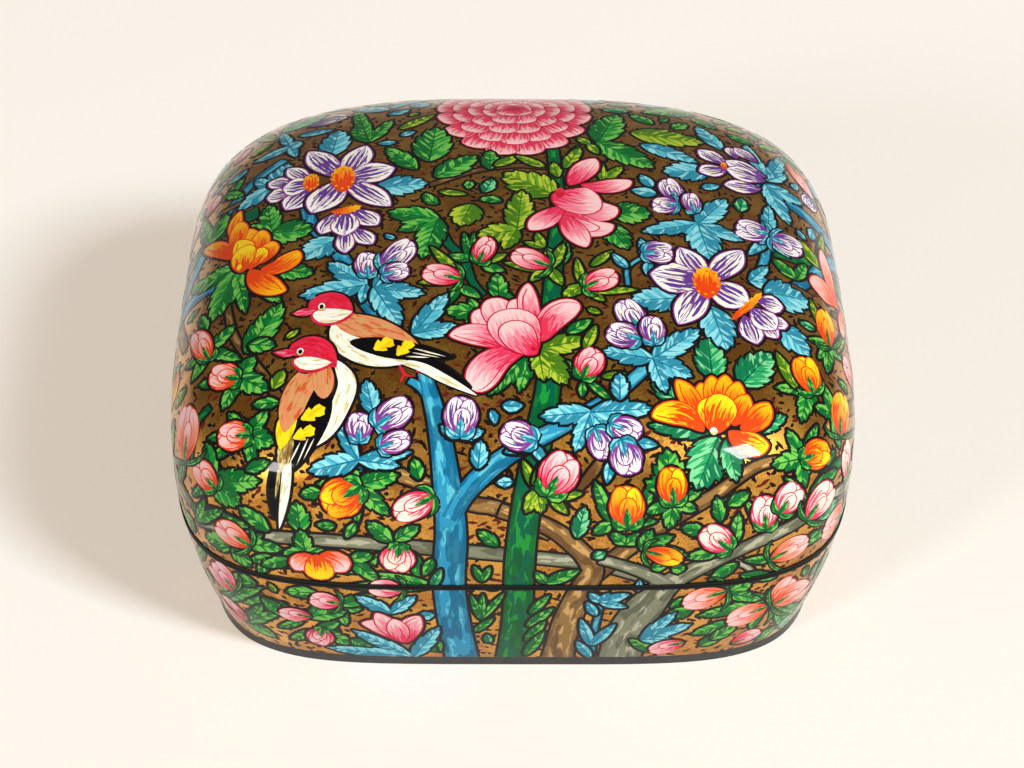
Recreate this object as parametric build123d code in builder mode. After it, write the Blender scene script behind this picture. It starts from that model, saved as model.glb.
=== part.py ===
from build123d import *
import os
from math import cos, pi, radians, sin

os.makedirs("parts", exist_ok=True)

# A pillow-shaped papier mache box with a lift-off lid.
# The origin is the centre of the underside of the foot board. +Z is up and -Y is the front.

# Outside form
half_width = 52.0  # from the centre to the side, at the belly
belly_height = 27.0  # of the widest line, above the table
dome_rise = 24.8  # from the belly to the crown
dome_exponent = 3.0  # how square the shoulder of the dome is
tuck_depth = 69.0  # below the belly, where the underside would close to a point
tuck_exponent = 1.77  # how fast the side draws in towards the foot
belly_plan_exponent = 4.5  # plan at the belly: 2 is a circle, more is squarer
foot_plan_exponent = 4.8
crown_plan_exponent = 2.4
crown_blend = 1.5  # how late the plan turns round towards the crown

# Walls and layers
wall = 3.4  # of the pressed paper pulp
floor_thickness = 3.4
lining = 0.4
binding = 0.45  # lacquered strip on each raw edge
foot_board_height = 1.5
foot_margin = 0.2  # how far the foot board stands in from the tray above it

# The joint between tray and lid
seam_drop = 8.3  # below the belly
seam_gap = 0.15
collar_thickness = 1.6
collar_depth = 9.0  # glued inside the tray, below the seam
collar_rise = 4.6  # above the seam, inside the lid
collar_clearance = 0.35  # between the collar and the lining of the lid

# How finely the curved forms are drawn
outline_count = 40
shoulder_angles = [12, 24, 36, 48, 60, 71, 80, 86]
tray_steps = 5

foot_top = foot_board_height
seam_height = belly_height - seam_drop
lid_low = seam_height + seam_gap / 2
tray_high = seam_height - seam_gap / 2


def plan_exponent(z):
    """How square the plan is at a height."""
    if z > belly_height:
        share = ((z - belly_height) / dome_rise) ** crown_blend
        return belly_plan_exponent + (crown_plan_exponent - belly_plan_exponent) * share
    share = (belly_height - z) / (belly_height - foot_top)
    return belly_plan_exponent + (foot_plan_exponent - belly_plan_exponent) * share


def side(z, inset=0.0):
    """Half width of the form at or below the belly, an inset in from the outside."""
    drop = (belly_height - z) / tuck_depth
    return half_width * (1 - drop**tuck_exponent) ** (1 / tuck_exponent) - inset


def outline(half, exponent, z):
    """Face of the plan at a height: a square with bulging sides and round corners."""
    turns = [2 * pi * step / outline_count for step in range(outline_count)]
    reach = [half / (abs(cos(t)) ** exponent + abs(sin(t)) ** exponent) ** (1 / exponent) for t in turns]
    with BuildSketch(Plane.XY.offset(z)) as plan:
        with BuildLine():
            Spline([(r * cos(t), r * sin(t)) for r, t in zip(reach, turns)], periodic=True)
        make_face()
    return plan.sketch


def tray_sections(low, high, inset=0.0):
    """Plans of the lower form between two heights, an inset in from the outside."""
    heights = [low + (high - low) * step / tray_steps for step in range(tray_steps + 1)]
    return [outline(side(z, inset), plan_exponent(z), z) for z in heights]


def lid_sections(low, inset=0.0):
    """Plans of the upper form, from a height below the belly to the crown."""
    heights = (low, (low + belly_height) / 2, belly_height)
    sections = [outline(side(z, inset), plan_exponent(z), z) for z in heights]
    power = 2 / dome_exponent
    for angle in shoulder_angles:
        half = (half_width - inset) * cos(radians(angle)) ** power
        rise = sin(radians(angle)) ** power
        exponent = plan_exponent(belly_height + dome_rise * rise)
        sections.append(outline(half, exponent, belly_height + (dome_rise - inset) * rise))
    return sections


def rim(half, z):
    """Plan of a straight-sided piece that follows the seam."""
    return outline(half, plan_exponent(seam_height), z)


lid_mouth = side(lid_low, wall + lining)
collar_outer = lid_mouth - collar_clearance
collar_low = seam_height - collar_depth
collar_height = collar_depth + collar_rise
tray_floor = foot_top + floor_thickness

with BuildPart() as lid_shell:
    loft(lid_sections(lid_low + binding))
    loft(lid_sections(lid_low + binding, wall), mode=Mode.SUBTRACT)
lid_shell.part.label = "lid_shell"

with BuildPart() as lid_lining:
    loft(lid_sections(lid_low + binding, wall))
    loft(lid_sections(lid_low + binding, wall + lining), mode=Mode.SUBTRACT)
lid_lining.part.label = "lid_lining"

with BuildPart() as lid_edge_binding:
    loft(tray_sections(lid_low, lid_low + binding))
    extrude(rim(lid_mouth, lid_low), amount=binding, mode=Mode.SUBTRACT)
lid_edge_binding.part.label = "lid_edge_binding"

with BuildPart() as base_shell:
    loft(tray_sections(foot_top, tray_high - binding))
    loft(tray_sections(tray_floor, tray_high - binding, wall), mode=Mode.SUBTRACT)
    extrude(rim(collar_outer, collar_low), amount=tray_high - binding - collar_low, mode=Mode.SUBTRACT)
base_shell.part.label = "base_shell"

with BuildPart() as base_lining:
    loft(tray_sections(tray_floor, tray_high - binding, wall))
    split(bisect_by=Plane.XY.offset(collar_low), keep=Keep.BOTTOM)
    loft(tray_sections(tray_floor + lining, tray_high, wall + lining), mode=Mode.SUBTRACT)
base_lining.part.label = "base_lining"

with BuildPart() as base_edge_binding:
    loft(tray_sections(tray_high - binding, tray_high))
    extrude(rim(collar_outer, tray_high - binding), amount=binding, mode=Mode.SUBTRACT)
base_edge_binding.part.label = "base_edge_binding"

with BuildPart() as locating_collar:
    extrude(rim(collar_outer, collar_low), amount=collar_height)
    extrude(rim(collar_outer - collar_thickness, collar_low), amount=collar_height, mode=Mode.SUBTRACT)
locating_collar.part.label = "locating_collar"

with BuildPart() as foot_board:
    extrude(outline(side(foot_top) - foot_margin, plan_exponent(foot_top), 0), amount=foot_board_height)
foot_board.part.label = "foot_board"

pieces = (
    lid_shell,
    lid_lining,
    lid_edge_binding,
    base_shell,
    base_lining,
    base_edge_binding,
    locating_collar,
    foot_board,
)
for piece in pieces:
    export_step(piece.part, f"parts/{piece.part.label}.step")
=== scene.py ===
"""A painted and lacquered papier mache box with a lift-off lid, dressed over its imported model.

The painting is laid shape by shape on the form of the box, as thin films under the lacquer. A view
sheet gives the places: x runs right and y runs down, 1024 by 768 points, SHEET_POINTS to a millimetre
at the widest line of the box. Sizes of the form are in millimetres.
"""

import logging
import math
from dataclasses import dataclass, field, replace
from enum import Enum
from functools import cached_property
from typing import Callable, Iterable, Sequence

import bmesh
import bpy
import numpy as np
from mathutils import Matrix, Vector

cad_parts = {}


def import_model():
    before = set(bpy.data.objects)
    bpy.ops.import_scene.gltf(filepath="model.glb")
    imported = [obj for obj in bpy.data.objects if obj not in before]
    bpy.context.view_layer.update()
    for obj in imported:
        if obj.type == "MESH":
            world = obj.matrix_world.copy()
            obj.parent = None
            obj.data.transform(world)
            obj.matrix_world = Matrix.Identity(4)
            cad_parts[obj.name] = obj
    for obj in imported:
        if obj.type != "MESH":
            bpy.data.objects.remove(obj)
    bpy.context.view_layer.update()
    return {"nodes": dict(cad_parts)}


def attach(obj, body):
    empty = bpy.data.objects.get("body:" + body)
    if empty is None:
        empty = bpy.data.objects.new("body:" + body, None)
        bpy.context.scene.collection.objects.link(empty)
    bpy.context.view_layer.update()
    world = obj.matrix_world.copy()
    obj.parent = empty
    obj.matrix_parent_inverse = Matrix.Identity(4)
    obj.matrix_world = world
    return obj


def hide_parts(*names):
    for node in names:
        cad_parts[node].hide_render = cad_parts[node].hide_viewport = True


log = logging.getLogger("painted box")

MM = 0.001  # metres
SHEET_SIZE = (1024.0, 768.0)  # points of a view sheet
SHEET_POINTS = 6.355  # of a view sheet to a millimetre, at the belly
GROUND_INSET = 0.165  # mm, of the bronze ground below the form
FIRST_FILM = 0.15  # mm, inset of the lowest film of paint
FILM_STEP = 0.005  # mm between films
TOP_FILM = 28
GRID = 0.8  # mm, the widest face of a film
CELL = 0.35  # mm, of the map that records how high the paint stands
MAP_HALF = 92.0  # mm, from the crown to the edge of the flattened skin

Points = np.ndarray
Place = tuple[float, float]


# ---------------------------------------------------------------- the form


@dataclass(frozen=True)
class Form:
    """The outside form: a pillow on a square plan, drawn in to the foot. All in millimetres."""

    half_width: float = 52.0
    belly: float = 27.0
    rise: float = 24.8
    dome: float = 3.0
    tuck: float = 69.0
    tuck_power: float = 1.77
    belly_plan: float = 4.5
    foot_plan: float = 4.8
    crown_plan: float = 2.4
    crown_blend: float = 1.5
    foot_top: float = 1.5
    lid_low: float = 19.225
    tray_high: float = 18.175

    def plan(self, z: Points) -> Points:
        """How square the plan is at each height."""
        up = np.clip((z - self.belly) / self.rise, 0, 1) ** self.crown_blend
        down = np.clip((self.belly - z) / (self.belly - self.foot_top), 0, 1)
        return self.belly_plan + (self.crown_plan - self.belly_plan) * up + (self.foot_plan - self.belly_plan) * down

    def side(self, z: Points) -> Points:
        """Half width at or below the belly."""
        drop = np.clip((self.belly - z) / self.tuck, 0, 0.95)
        return self.half_width * (1 - drop**self.tuck_power) ** (1 / self.tuck_power)

    def radius(self, p: Points) -> Points:
        """Half width of the plan that each point lies on."""
        n = self.plan(p[:, 2])
        return (np.abs(p[:, 0]) ** n + np.abs(p[:, 1]) ** n) ** (1 / n)

    def level(self, p: Points) -> Points:
        """How far outside the form each point lies: 0 on it, and less than 0 inside."""
        rho, z = self.radius(p), p[:, 2]
        up = np.maximum(z - self.belly, 0) / self.rise
        above = self.half_width * ((rho / self.half_width) ** self.dome + up**self.dome) ** (1 / self.dome)
        return np.where(z > self.belly, above - self.half_width, rho - self.side(z))

    def slope(self, p: Points) -> Points:
        """Gradient of the level at each point."""
        step = 1e-3
        moves = np.vstack([np.eye(3), -np.eye(3)]) * step
        values = self.level((p[None] + moves[:, None]).reshape(-1, 3)).reshape(6, -1)
        return ((values[:3] - values[3:]) / (2 * step)).T

    def normal(self, p: Points) -> Points:
        """Outward unit normal at each point."""
        g = self.slope(p)
        return g / np.linalg.norm(g, axis=1, keepdims=True)

    def settle(self, p: Points, turns: int = 4) -> Points:
        """Brings points near the form on to it.

        Args:
            p: the points.
            turns: how many times they are moved.
        Returns:
            The points on the form.
        """
        p = np.array(p, float)
        for _ in range(turns):
            g = self.slope(p)
            p -= g * (self.level(p) / (g * g).sum(1))[:, None]
        return p

    def drop(self, eye: Points, rays: Points) -> Points:
        """Where rays from an eye meet the form. A ray that misses gives the nearest point of its edge.

        Args:
            eye: the point they start from.
            rays: their unit directions.
        Returns:
            One point for each ray.
        """
        reach = np.linalg.norm(eye)
        low, high = np.full(len(rays), reach - 90.0), np.full(len(rays), reach + 60.0)
        for _ in range(24):
            third = (high - low) / 3
            nearer = self.level(eye + rays * (low + third)[:, None]) < self.level(eye + rays * (high - third)[:, None])
            low, high = np.where(nearer, low, low + third), np.where(nearer, high - third, high)
        outside, inside = np.full(len(rays), reach - 100.0), (low + high) / 2
        for _ in range(22):
            middle = (outside + inside) / 2
            within = self.level(eye + rays * middle[:, None]) < 0
            inside, outside = np.where(within, middle, inside), np.where(within, outside, middle)
        return self.settle(eye + rays * inside[:, None])

    def flatten(self, p: Points) -> Points:
        """Place of each point on the flattened skin, in millimetres from the crown."""
        rho = np.maximum(self.radius(p), 1e-6)
        across, up = rho / self.half_width, np.maximum(p[:, 2] - self.belly, 0) / self.rise
        whole = (across**self.dome + up**self.dome) ** (1 / self.dome)
        arc = np.interp((across - up) / whole, *self.dome_arcs)
        arc = np.where(p[:, 2] > self.belly, arc, np.interp(-p[:, 2], *self.tuck_arcs))
        return p[:, :2] / rho[:, None] * arc[:, None]

    @cached_property
    def dome_arcs(self) -> tuple[Points, Points]:
        """Arc from the crown, against the share across less the share up."""
        turn = np.linspace(0, math.pi / 2, 400)
        across, up = np.sin(turn) ** (2 / self.dome), np.cos(turn) ** (2 / self.dome)
        return across - up, run(np.column_stack([across * self.half_width, up * self.rise]))

    @cached_property
    def tuck_arcs(self) -> tuple[Points, Points]:
        """Arc from the crown, against the height below the belly with its sign turned."""
        z = np.linspace(self.belly, 0, 60)
        return -z, self.dome_arcs[1][-1] + run(np.column_stack([self.side(z), z]))


def run(points: Points) -> Points:
    """Length along a line of points, up to each of them."""
    return np.concatenate([[0], np.cumsum(np.linalg.norm(np.diff(points, axis=0), axis=1))])


def unit(v: Points) -> Points:
    """Vectors brought to a length of 1."""
    return v / np.maximum(np.linalg.norm(v, axis=-1, keepdims=True), 1e-12)


# ---------------------------------------------------------------- looking at it


@dataclass(frozen=True)
class Viewpoint:
    """An eye on the box and the view sheet in front of it. Angles in degrees, lengths in millimetres."""

    azimuth: float = -0.36
    elevation: float = 34.77
    roll: float = 0.36
    distance: float = 480.0
    focal: float = 3050.0  # sheet points
    aim: tuple[float, float, float] = (0.0, 0.0, 27.0)
    aim_place: Place = (512.5, 339.7)  # where the aim falls on the sheet
    flipped: bool = False  # a sheet read from its other side

    def axes(self) -> tuple[Points, Points, Points, Points]:
        """The eye, and its unit directions right, up and forward."""
        a, e, r = map(math.radians, (self.azimuth, self.elevation, self.roll))
        right = np.array([math.cos(a), math.sin(a), 0.0])
        back = np.array([math.sin(a) * math.cos(e), -math.cos(a) * math.cos(e), math.sin(e)])
        up = np.cross(back, right)
        eye = np.array(self.aim) + back * self.distance
        right, up = right * math.cos(r) + up * math.sin(r), up * math.cos(r) - right * math.sin(r)
        off_x, off_y = self.aim_place[0] - SHEET_SIZE[0] / 2, SHEET_SIZE[1] / 2 - self.aim_place[1]
        forward = unit(-back * self.focal - right * off_x - up * off_y)
        right = unit(right - forward * (right @ forward))
        return eye, right, np.cross(right, forward), forward

    def turned_over(self, x: Points) -> Points:
        """Places across the sheet, the other way round if the sheet is flipped."""
        return 2 * self.aim_place[0] - x if self.flipped else x

    def rays(self, places: Points) -> Points:
        """Unit directions from the eye through places on the sheet."""
        _, right, up, forward = self.axes()
        x, y = self.turned_over(places[:, :1]) - SHEET_SIZE[0] / 2, SHEET_SIZE[1] / 2 - places[:, 1:]
        return unit(forward * self.focal + right * x + up * y)

    def project(self, p: Points) -> Points:
        """Places on the sheet of points in space."""
        eye, right, up, forward = self.axes()
        d = p - eye
        scale = self.focal / (d @ forward)
        return np.column_stack([self.turned_over(SHEET_SIZE[0] / 2 + d @ right * scale), SHEET_SIZE[1] / 2 - d @ up * scale])

    def camera(self) -> bpy.types.Object:
        """The scene's camera, at this eye."""
        data = bpy.data.cameras.new("camera")
        data.sensor_width = 36.0
        data.lens = self.focal / SHEET_SIZE[0] * data.sensor_width
        data.clip_start, data.clip_end = 0.02, 20.0
        camera = bpy.data.objects.new("camera", data)
        eye, right, up, forward = self.axes()
        turn = Matrix([right, up, -forward]).transposed().to_4x4()
        camera.matrix_world = Matrix.Translation(Vector(eye) * MM) @ turn
        bpy.context.scene.collection.objects.link(camera)
        bpy.context.scene.camera = camera
        return camera


# ---------------------------------------------------------------- paint


class Ink(Enum):
    """The painter's colours, as red, green and blue of 255."""

    BLACK = (12, 10, 12)
    CREAM = (252, 242, 214)
    WHITE = (255, 252, 246)
    BLUSH = (254, 206, 202)
    PINK = (246, 128, 146)
    ROSE = (230, 48, 84)
    CRIMSON = (200, 22, 56)
    SCARLET = (222, 30, 46)
    VERMILION = (232, 66, 16)
    ORANGE = (250, 128, 16)
    AMBER = (255, 184, 20)
    YELLOW = (255, 222, 30)
    RUST = (204, 86, 36)
    CLAY = (226, 136, 92)
    SALMON = (252, 142, 106)
    SAND = (206, 160, 96)
    TAN = (150, 112, 58)
    BROWN = (98, 64, 34)
    STRAW = (214, 196, 120)
    MAUVE = (146, 58, 140)
    PURPLE = (92, 34, 140)
    PINE = (4, 84, 38)
    FERN = (28, 142, 54)
    LIME = (124, 200, 82)
    OLIVE = (56, 104, 18)
    MOSS = (104, 156, 34)
    CITRON = (192, 204, 58)
    SPRUCE = (0, 92, 62)
    JADE = (38, 158, 92)
    MINT = (134, 216, 150)
    TEAL = (14, 112, 140)
    SKY = (88, 186, 202)
    MIST = (152, 222, 224)
    HARBOUR = (8, 92, 126)
    LAKE = (44, 146, 182)
    SLATE = (86, 88, 66)
    STONE = (132, 132, 104)
    ASH = (182, 176, 148)

    def linear(self) -> tuple[float, float, float]:
        """The colour as light."""
        shares = (v / 255 for v in self.value)
        return tuple(s / 12.92 if s <= 0.04045 else ((s + 0.055) / 1.055) ** 2.4 for s in shares)


class Brush(Enum):
    """What a film of paint shows, which picks its piece and its finish."""

    OUTLINE = "outlines"
    BARK = "branches"
    LEAF = "leaves"
    PETAL = "petals"
    FEATHER = "birds"


Inks = tuple[Ink, Ink, Ink, Ink]  # deep, body, light and line


@dataclass(frozen=True)
class Shape:
    """Outline of a painted shape along its spine, as shares of its length and half width."""

    peak: float = 0.5  # where it is widest
    base: float = 0.5  # 0.5 is a round end, 1 a pointed one and 0 a blunt one
    tip: float = 0.5
    teeth: int = 0  # on each edge
    depth: float = 0.3  # of the teeth
    lean: float = 0.05  # of the teeth towards the tip

    def swell(self, u: Points) -> Points:
        """Share of the half width at each share of the length."""
        rise = np.sin(np.clip(u / self.peak, 0, 1) * math.pi / 2) ** self.base
        fall = np.cos(np.clip((u - self.peak) / (1 - self.peak), 0, 1) * math.pi / 2) ** self.tip
        return np.maximum(np.where(u < self.peak, rise, fall), 0.02)

    def rows(self, length: float) -> tuple[Points, Points, Points]:
        """Rows of points across the shape.

        Args:
            length: of the spine, in millimetres.
        Returns:
            For each row its share of the length, its share of the half width, and how far its ends lean.
        """
        if self.teeth:
            first, last = 0.08, 0.9
            u, w, lean = [0.0, first * 0.5], [0.1, 0.28], [0.0, 0.0]
            gap = (last - first) / self.teeth
            for tooth in range(self.teeth):
                start = first + gap * tooth
                for share, cut, forward in ((0.0, self.depth, 0), (0.42, self.depth * 0.35, 0.3), (0.8, 0.0, 1)):
                    u.append(start + gap * share)
                    w.append(float(self.swell(np.array([start + gap * share]))[0]) * (1 - cut))
                    lean.append(self.lean * forward)
            u += [last, 1.0]
            w += [float(self.swell(np.array([last]))[0]) * (1 - self.depth * 0.6), 0.03]
            lean += [0.0, 0.0]
        else:
            count = max(5, math.ceil(length / GRID) + 2)
            u = (1 - np.cos(np.linspace(0, math.pi, count))) / 2 if count < 30 else np.linspace(0, 1, count)
            w, lean = self.swell(np.asarray(u)), np.zeros(count)
        u, w, lean = map(np.asarray, (u, w, lean))
        fine = [u[0]]
        for a, b in zip(u[:-1], u[1:]):
            parts = max(1, math.ceil((b - a) * length / GRID - 0.05))
            fine += [a + (b - a) * part / parts for part in range(1, parts + 1)]
        return np.array(fine), np.interp(fine, u, w), np.interp(fine, u, lean)


@dataclass
class Stroke:
    """One shape of paint. Lengths in millimetres."""

    path: Points  # its spine, on the form
    left: float  # half width
    right: float
    shape: Shape
    brush: Brush
    inks: Inks
    widths: Sequence[float] = ()  # shares of the half width along the spine, instead of the shape's
    line: float = 0.11  # its own thin line
    halo: float = 0.3  # the black line round its group
    reach: float = 0.5  # how far the deep ink runs from the base
    fold: float = 0.0  # 1 gives it a turned edge
    hatch: float = 0.5  # how strongly its strokes show


@dataclass
class Film:
    """A laid shape of paint, on the form and not yet lifted to its height."""

    points: Points
    faces: Points
    share: Points  # along, across, and millimetres in from the edge
    place: Points  # millimetres along and across, and a number of its own
    inks: Points  # four colours of four numbers
    brush: Brush
    heights: Points = None  # in films, of each point


@dataclass
class Easel:
    """Lays shapes of paint on the form, each just above what it covers."""

    form: Form
    films: list[Film] = field(default_factory=list)
    random: np.random.Generator = field(default_factory=lambda: np.random.default_rng(11))

    def __post_init__(self) -> None:
        """Starts with a bare map."""
        cells = int(2 * MAP_HALF / CELL)
        self.heights = np.zeros((cells, cells), np.int16)

    def index(self, flat: Points) -> tuple[Points, Points]:
        """Cells of the map under places on the flattened skin."""
        index = np.clip(((flat + MAP_HALF) / CELL).astype(int), 0, len(self.heights) - 1)
        return index[..., 0], index[..., 1]

    def cells(self, film: Film) -> tuple[Points, Points]:
        """Cells of the map that a film's faces cover, 16 for each face."""
        flat = self.form.flatten(film.points)[film.faces]
        share = (np.arange(4) + 0.5) / 4
        a, b = (g.ravel()[None, :, None] for g in np.meshgrid(share, share))
        inner = flat[:, None, 0] * (1 - a) * (1 - b) + flat[:, None, 1] * a * (1 - b)
        inner = inner + flat[:, None, 2] * a * b + flat[:, None, 3] * (1 - a) * b
        return self.index(inner)

    def drape(self, film: Film, cells: tuple[Points, Points]) -> None:
        """Rests a film on what lies beneath it, one step higher."""
        beneath = self.heights[cells].max(1)
        order = np.argsort(beneath, kind="stable")
        film.heights = np.zeros(len(film.points), np.int16)
        film.heights[film.faces[order].ravel()] = np.repeat(beneath[order] + 1, 4)

    def press(self, film: Film, cells: tuple[Points, Points]) -> None:
        """Marks a film's heights on the map and keeps it."""
        top = film.heights[film.faces].max(1)
        order = np.argsort(top, kind="stable")
        self.heights[cells[0][order].ravel(), cells[1][order].ravel()] = np.repeat(top[order], 16)
        self.films.append(film)

    def draft(self, stroke: Stroke) -> tuple[Film, Film | None]:
        """Works out the film of a stroke, and of the black line round it."""
        form, path = self.form, stroke.path
        along = run(path)
        length = along[-1]
        heading = unit(np.gradient(path, axis=0))
        aside = unit(np.cross(form.normal(path), heading))
        if stroke.widths:
            count = max(4, math.ceil(length / GRID) + 1)
            u = np.linspace(0, 1, count)
            w, lean = np.interp(u, np.linspace(0, 1, len(stroke.widths)), stroke.widths), np.zeros(count)
        else:
            u, w, lean = stroke.shape.rows(length)
        columns = max(1, math.ceil(max(stroke.left, stroke.right) / GRID))
        v = np.linspace(-1, 1, 2 * columns + 1)
        half = np.where(v[None] < 0, stroke.left, stroke.right) * w[:, None]
        s = u[:, None] * length + lean[:, None] * length * v[None] ** 2
        t = half * v[None]
        rows, across = s.shape

        def spread(s: Points, t: Points) -> Points:
            """Points on the form, from places along and across the spine."""
            inner = np.clip(s, 0, length)
            at = np.column_stack([np.interp(inner, along, path[:, k]) for k in range(3)])
            side = np.column_stack([np.interp(inner, along, aside[:, k]) for k in range(3)])
            ahead = np.column_stack([np.interp(inner, along, heading[:, k]) for k in range(3)])
            return form.settle(at + side * t[:, None] + ahead * (s - inner)[:, None], 3)

        edge = [(0 + r, 0) for r in range(rows)] + [(rows - 1, c) for c in range(1, across)]
        edge += [(r, across - 1) for r in range(rows - 2, -1, -1)] + [(0, c) for c in range(across - 2, 0, -1)]
        edge = np.array(edge)
        loop = edge[:, 0] * across + edge[:, 1]
        rim = np.column_stack([s.ravel()[loop], t.ravel()[loop]])
        step = unit(np.roll(rim, -1, 0) - rim)
        out = np.column_stack([step[:, 1], -step[:, 0]])
        out = unit(out + np.roll(out, 1, 0) + 1e-9)
        seed = float(self.random.random())
        line_rim = rim + out * stroke.line
        points = spread(np.concatenate([s.ravel(), line_rim[:, 0]]), np.concatenate([t.ravel(), line_rim[:, 1]]))
        index = np.arange(rows * across).reshape(rows, across)
        quads = np.stack([index[:-1, :-1], index[1:, :-1], index[1:, 1:], index[:-1, 1:]], -1).reshape(-1, 4)
        ring = rows * across + np.arange(len(loop))
        band = np.stack([loop, ring, np.roll(ring, -1), np.roll(loop, -1)], -1)
        inward = ((1 - np.abs(v))[None] * half).ravel()
        share = np.column_stack([np.repeat(u, across), np.tile(v, rows), inward])
        share = np.vstack([share, np.column_stack([share[loop, :2], np.full(len(loop), -stroke.line)])])
        place = np.column_stack([
            np.concatenate([s.ravel(), line_rim[:, 0]]), np.concatenate([t.ravel(), line_rim[:, 1]]),
            np.full(len(points), seed)])
        inks = np.array([[*ink.linear(), extra] for ink, extra in
                         zip(stroke.inks, (stroke.reach, stroke.fold, stroke.hatch, 1.0))])
        film = Film(points, np.vstack([quads, band]), share, place, inks, stroke.brush)
        if stroke.line <= 0:
            keep = rows * across
            film = Film(points[:keep], quads, share[:keep], place[:keep], inks, stroke.brush)
        if stroke.halo <= 0:
            return film, None
        far = rim + out * (stroke.line + stroke.halo)
        halo_points = np.vstack([points[loop], spread(far[:, 0], far[:, 1])])
        count = len(loop)
        inner, outer = np.arange(count), count + np.arange(count)
        strip = np.stack([inner, outer, np.roll(outer, -1), np.roll(inner, -1)], -1)
        blank = np.zeros((2 * count, 3))
        return film, Film(halo_points, strip, blank, np.vstack([place[loop]] * 2), inks, Brush.OUTLINE)

    def lay(self, strokes: Sequence[Stroke], keep_off: float | None = None) -> bool:
        """Lays a group of strokes in order, with one black line round the whole group.

        Args:
            strokes: the group, the lowest first.
            keep_off: the greatest share of the group that may cover other paint; None for any.
        Returns:
            True if the group was laid.
        """
        drafts = [self.draft(stroke) for stroke in strokes]
        cells = [self.cells(film) for film, _ in drafts]
        if keep_off is not None:
            covered = np.concatenate([(self.heights[c] > 0).ravel() for c in cells])
            if covered.mean() > keep_off:
                return False
        halos = [(halo, self.cells(halo)) for _, halo in drafts if halo is not None]
        for halo, marks in halos:
            self.drape(halo, marks)
        for halo, marks in halos:
            self.press(halo, marks)
        for (film, _), marks in zip(drafts, cells):
            self.drape(film, marks)
            self.press(film, marks)
        return True


def smooth(points: Sequence[Place], parts: int = 6) -> Points:
    """A smooth line through places on a sheet."""
    p = np.array(points, float)
    if len(p) == 2:
        return p[0] + (p[1] - p[0]) * np.linspace(0, 1, 7)[:, None]
    q = np.vstack([2 * p[0] - p[1], p, 2 * p[-1] - p[-2]])
    t = (np.arange(parts) / parts)[:, None]
    made = []
    for a, b, c, d in zip(q[:-3], q[1:-2], q[2:-1], q[3:]):
        made.append(0.5 * (2 * b + (c - a) * t + (2 * a - 5 * b + 4 * c - d) * t**2 + (3 * b - a - 3 * c + d) * t**3))
    return np.vstack([*made, p[-1:]])


# ---------------------------------------------------------------- where a motif sits


@dataclass(frozen=True)
class Spot:
    """A motif's own corner of the painting: its drawing, in sheet points, is turned and sized here."""

    form: Form
    turn: float = 0.0  # degrees, clockwise as the eye sees it
    size: float = 1.0

    def turned(self, places: Points) -> Points:
        """The motif's places, turned and sized."""
        c, s = math.cos(math.radians(self.turn)), math.sin(math.radians(self.turn))
        return np.asarray(places, float) @ np.array([[c, s], [-s, c]]) * self.size

    def points(self, places: Points) -> Points:
        """Points of the form at the motif's places."""
        raise NotImplementedError

    def width(self, point: Points, aside: Points, size: float) -> float:
        """Millimetres on the form that a width in sheet points comes to."""
        raise NotImplementedError

    def stroke(self, places: Sequence[Place], wide: float | tuple[float, float], shape: Shape,
               brush: Brush, inks: Inks, bend: float = 0.0, **more: object) -> Stroke:
        """A stroke of this motif.

        Args:
            places: its spine, from base to tip.
            wide: its width in sheet points, or its widths left and right of the spine.
            shape: its outline.
            brush: what it shows.
            inks: its deep, body, light and line inks.
            bend: how far its middle stands off the straight line, as a share of its length.
            more: other fields of the stroke.
        Returns:
            The stroke.
        """
        line = np.array(places, float)
        if bend and len(line) == 2:
            reach = line[1] - line[0]
            middle = line.mean(0) + np.array([-reach[1], reach[0]]) * bend
            t = np.linspace(0, 1, 9)[:, None]
            line = line[0] * (1 - t) ** 2 + (2 * middle - line.mean(0)) * 2 * t * (1 - t) + line[1] * t**2
        else:
            line = smooth(line)
        path = self.points(line)
        middle = len(path) // 2
        heading = path[min(middle + 1, len(path) - 1)] - path[max(middle - 1, 0)]
        aside = unit(np.cross(self.form.normal(path[middle:middle + 1])[0], heading))
        left, right = wide if isinstance(wide, tuple) else (wide / 2, wide / 2)
        one = self.width(path[middle], aside, 1.0) * self.size
        return Stroke(path, max(left * one, 0.03), max(right * one, 0.03), shape, brush, inks, **more)


@dataclass(frozen=True)
class SheetSpot(Spot):
    """A spot drawn as an eye sees it, on its view sheet."""

    view: Viewpoint = Viewpoint()
    at: Place = (0.0, 0.0)

    def points(self, places: Points) -> Points:
        """Points of the form behind the motif's places on the sheet."""
        return self.form.drop(self.view.axes()[0], self.view.rays(self.turned(places) + np.array(self.at)))

    def width(self, point: Points, aside: Points, size: float) -> float:
        """Millimetres on the form that a width on the sheet comes to, with a steep side held back."""
        pair = self.view.project(np.array([point - aside / 2, point + aside / 2]))
        return size / max(float(np.linalg.norm(pair[1] - pair[0])), SHEET_POINTS / 1.5)


@dataclass(frozen=True)
class SkinSpot(Spot):
    """A spot drawn flat on the form, round one of its points."""

    at: Points = None
    up: Points = None  # the direction that the motif's top turns to

    def points(self, places: Points) -> Points:
        """Points of the form at the motif's places, measured along the skin."""
        normal = self.form.normal(self.at[None])[0]
        up = unit(self.up - normal * (self.up @ normal))
        right = np.cross(up, normal)
        flat = self.turned(places) / SHEET_POINTS
        return self.form.settle(self.at + right * flat[:, :1] - up * flat[:, 1:], 6)

    def width(self, point: Points, aside: Points, size: float) -> float:
        """Millimetres that a width in sheet points comes to."""
        return size / SHEET_POINTS


# ---------------------------------------------------------------- the painter's motifs

Group = list[Stroke]

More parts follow.
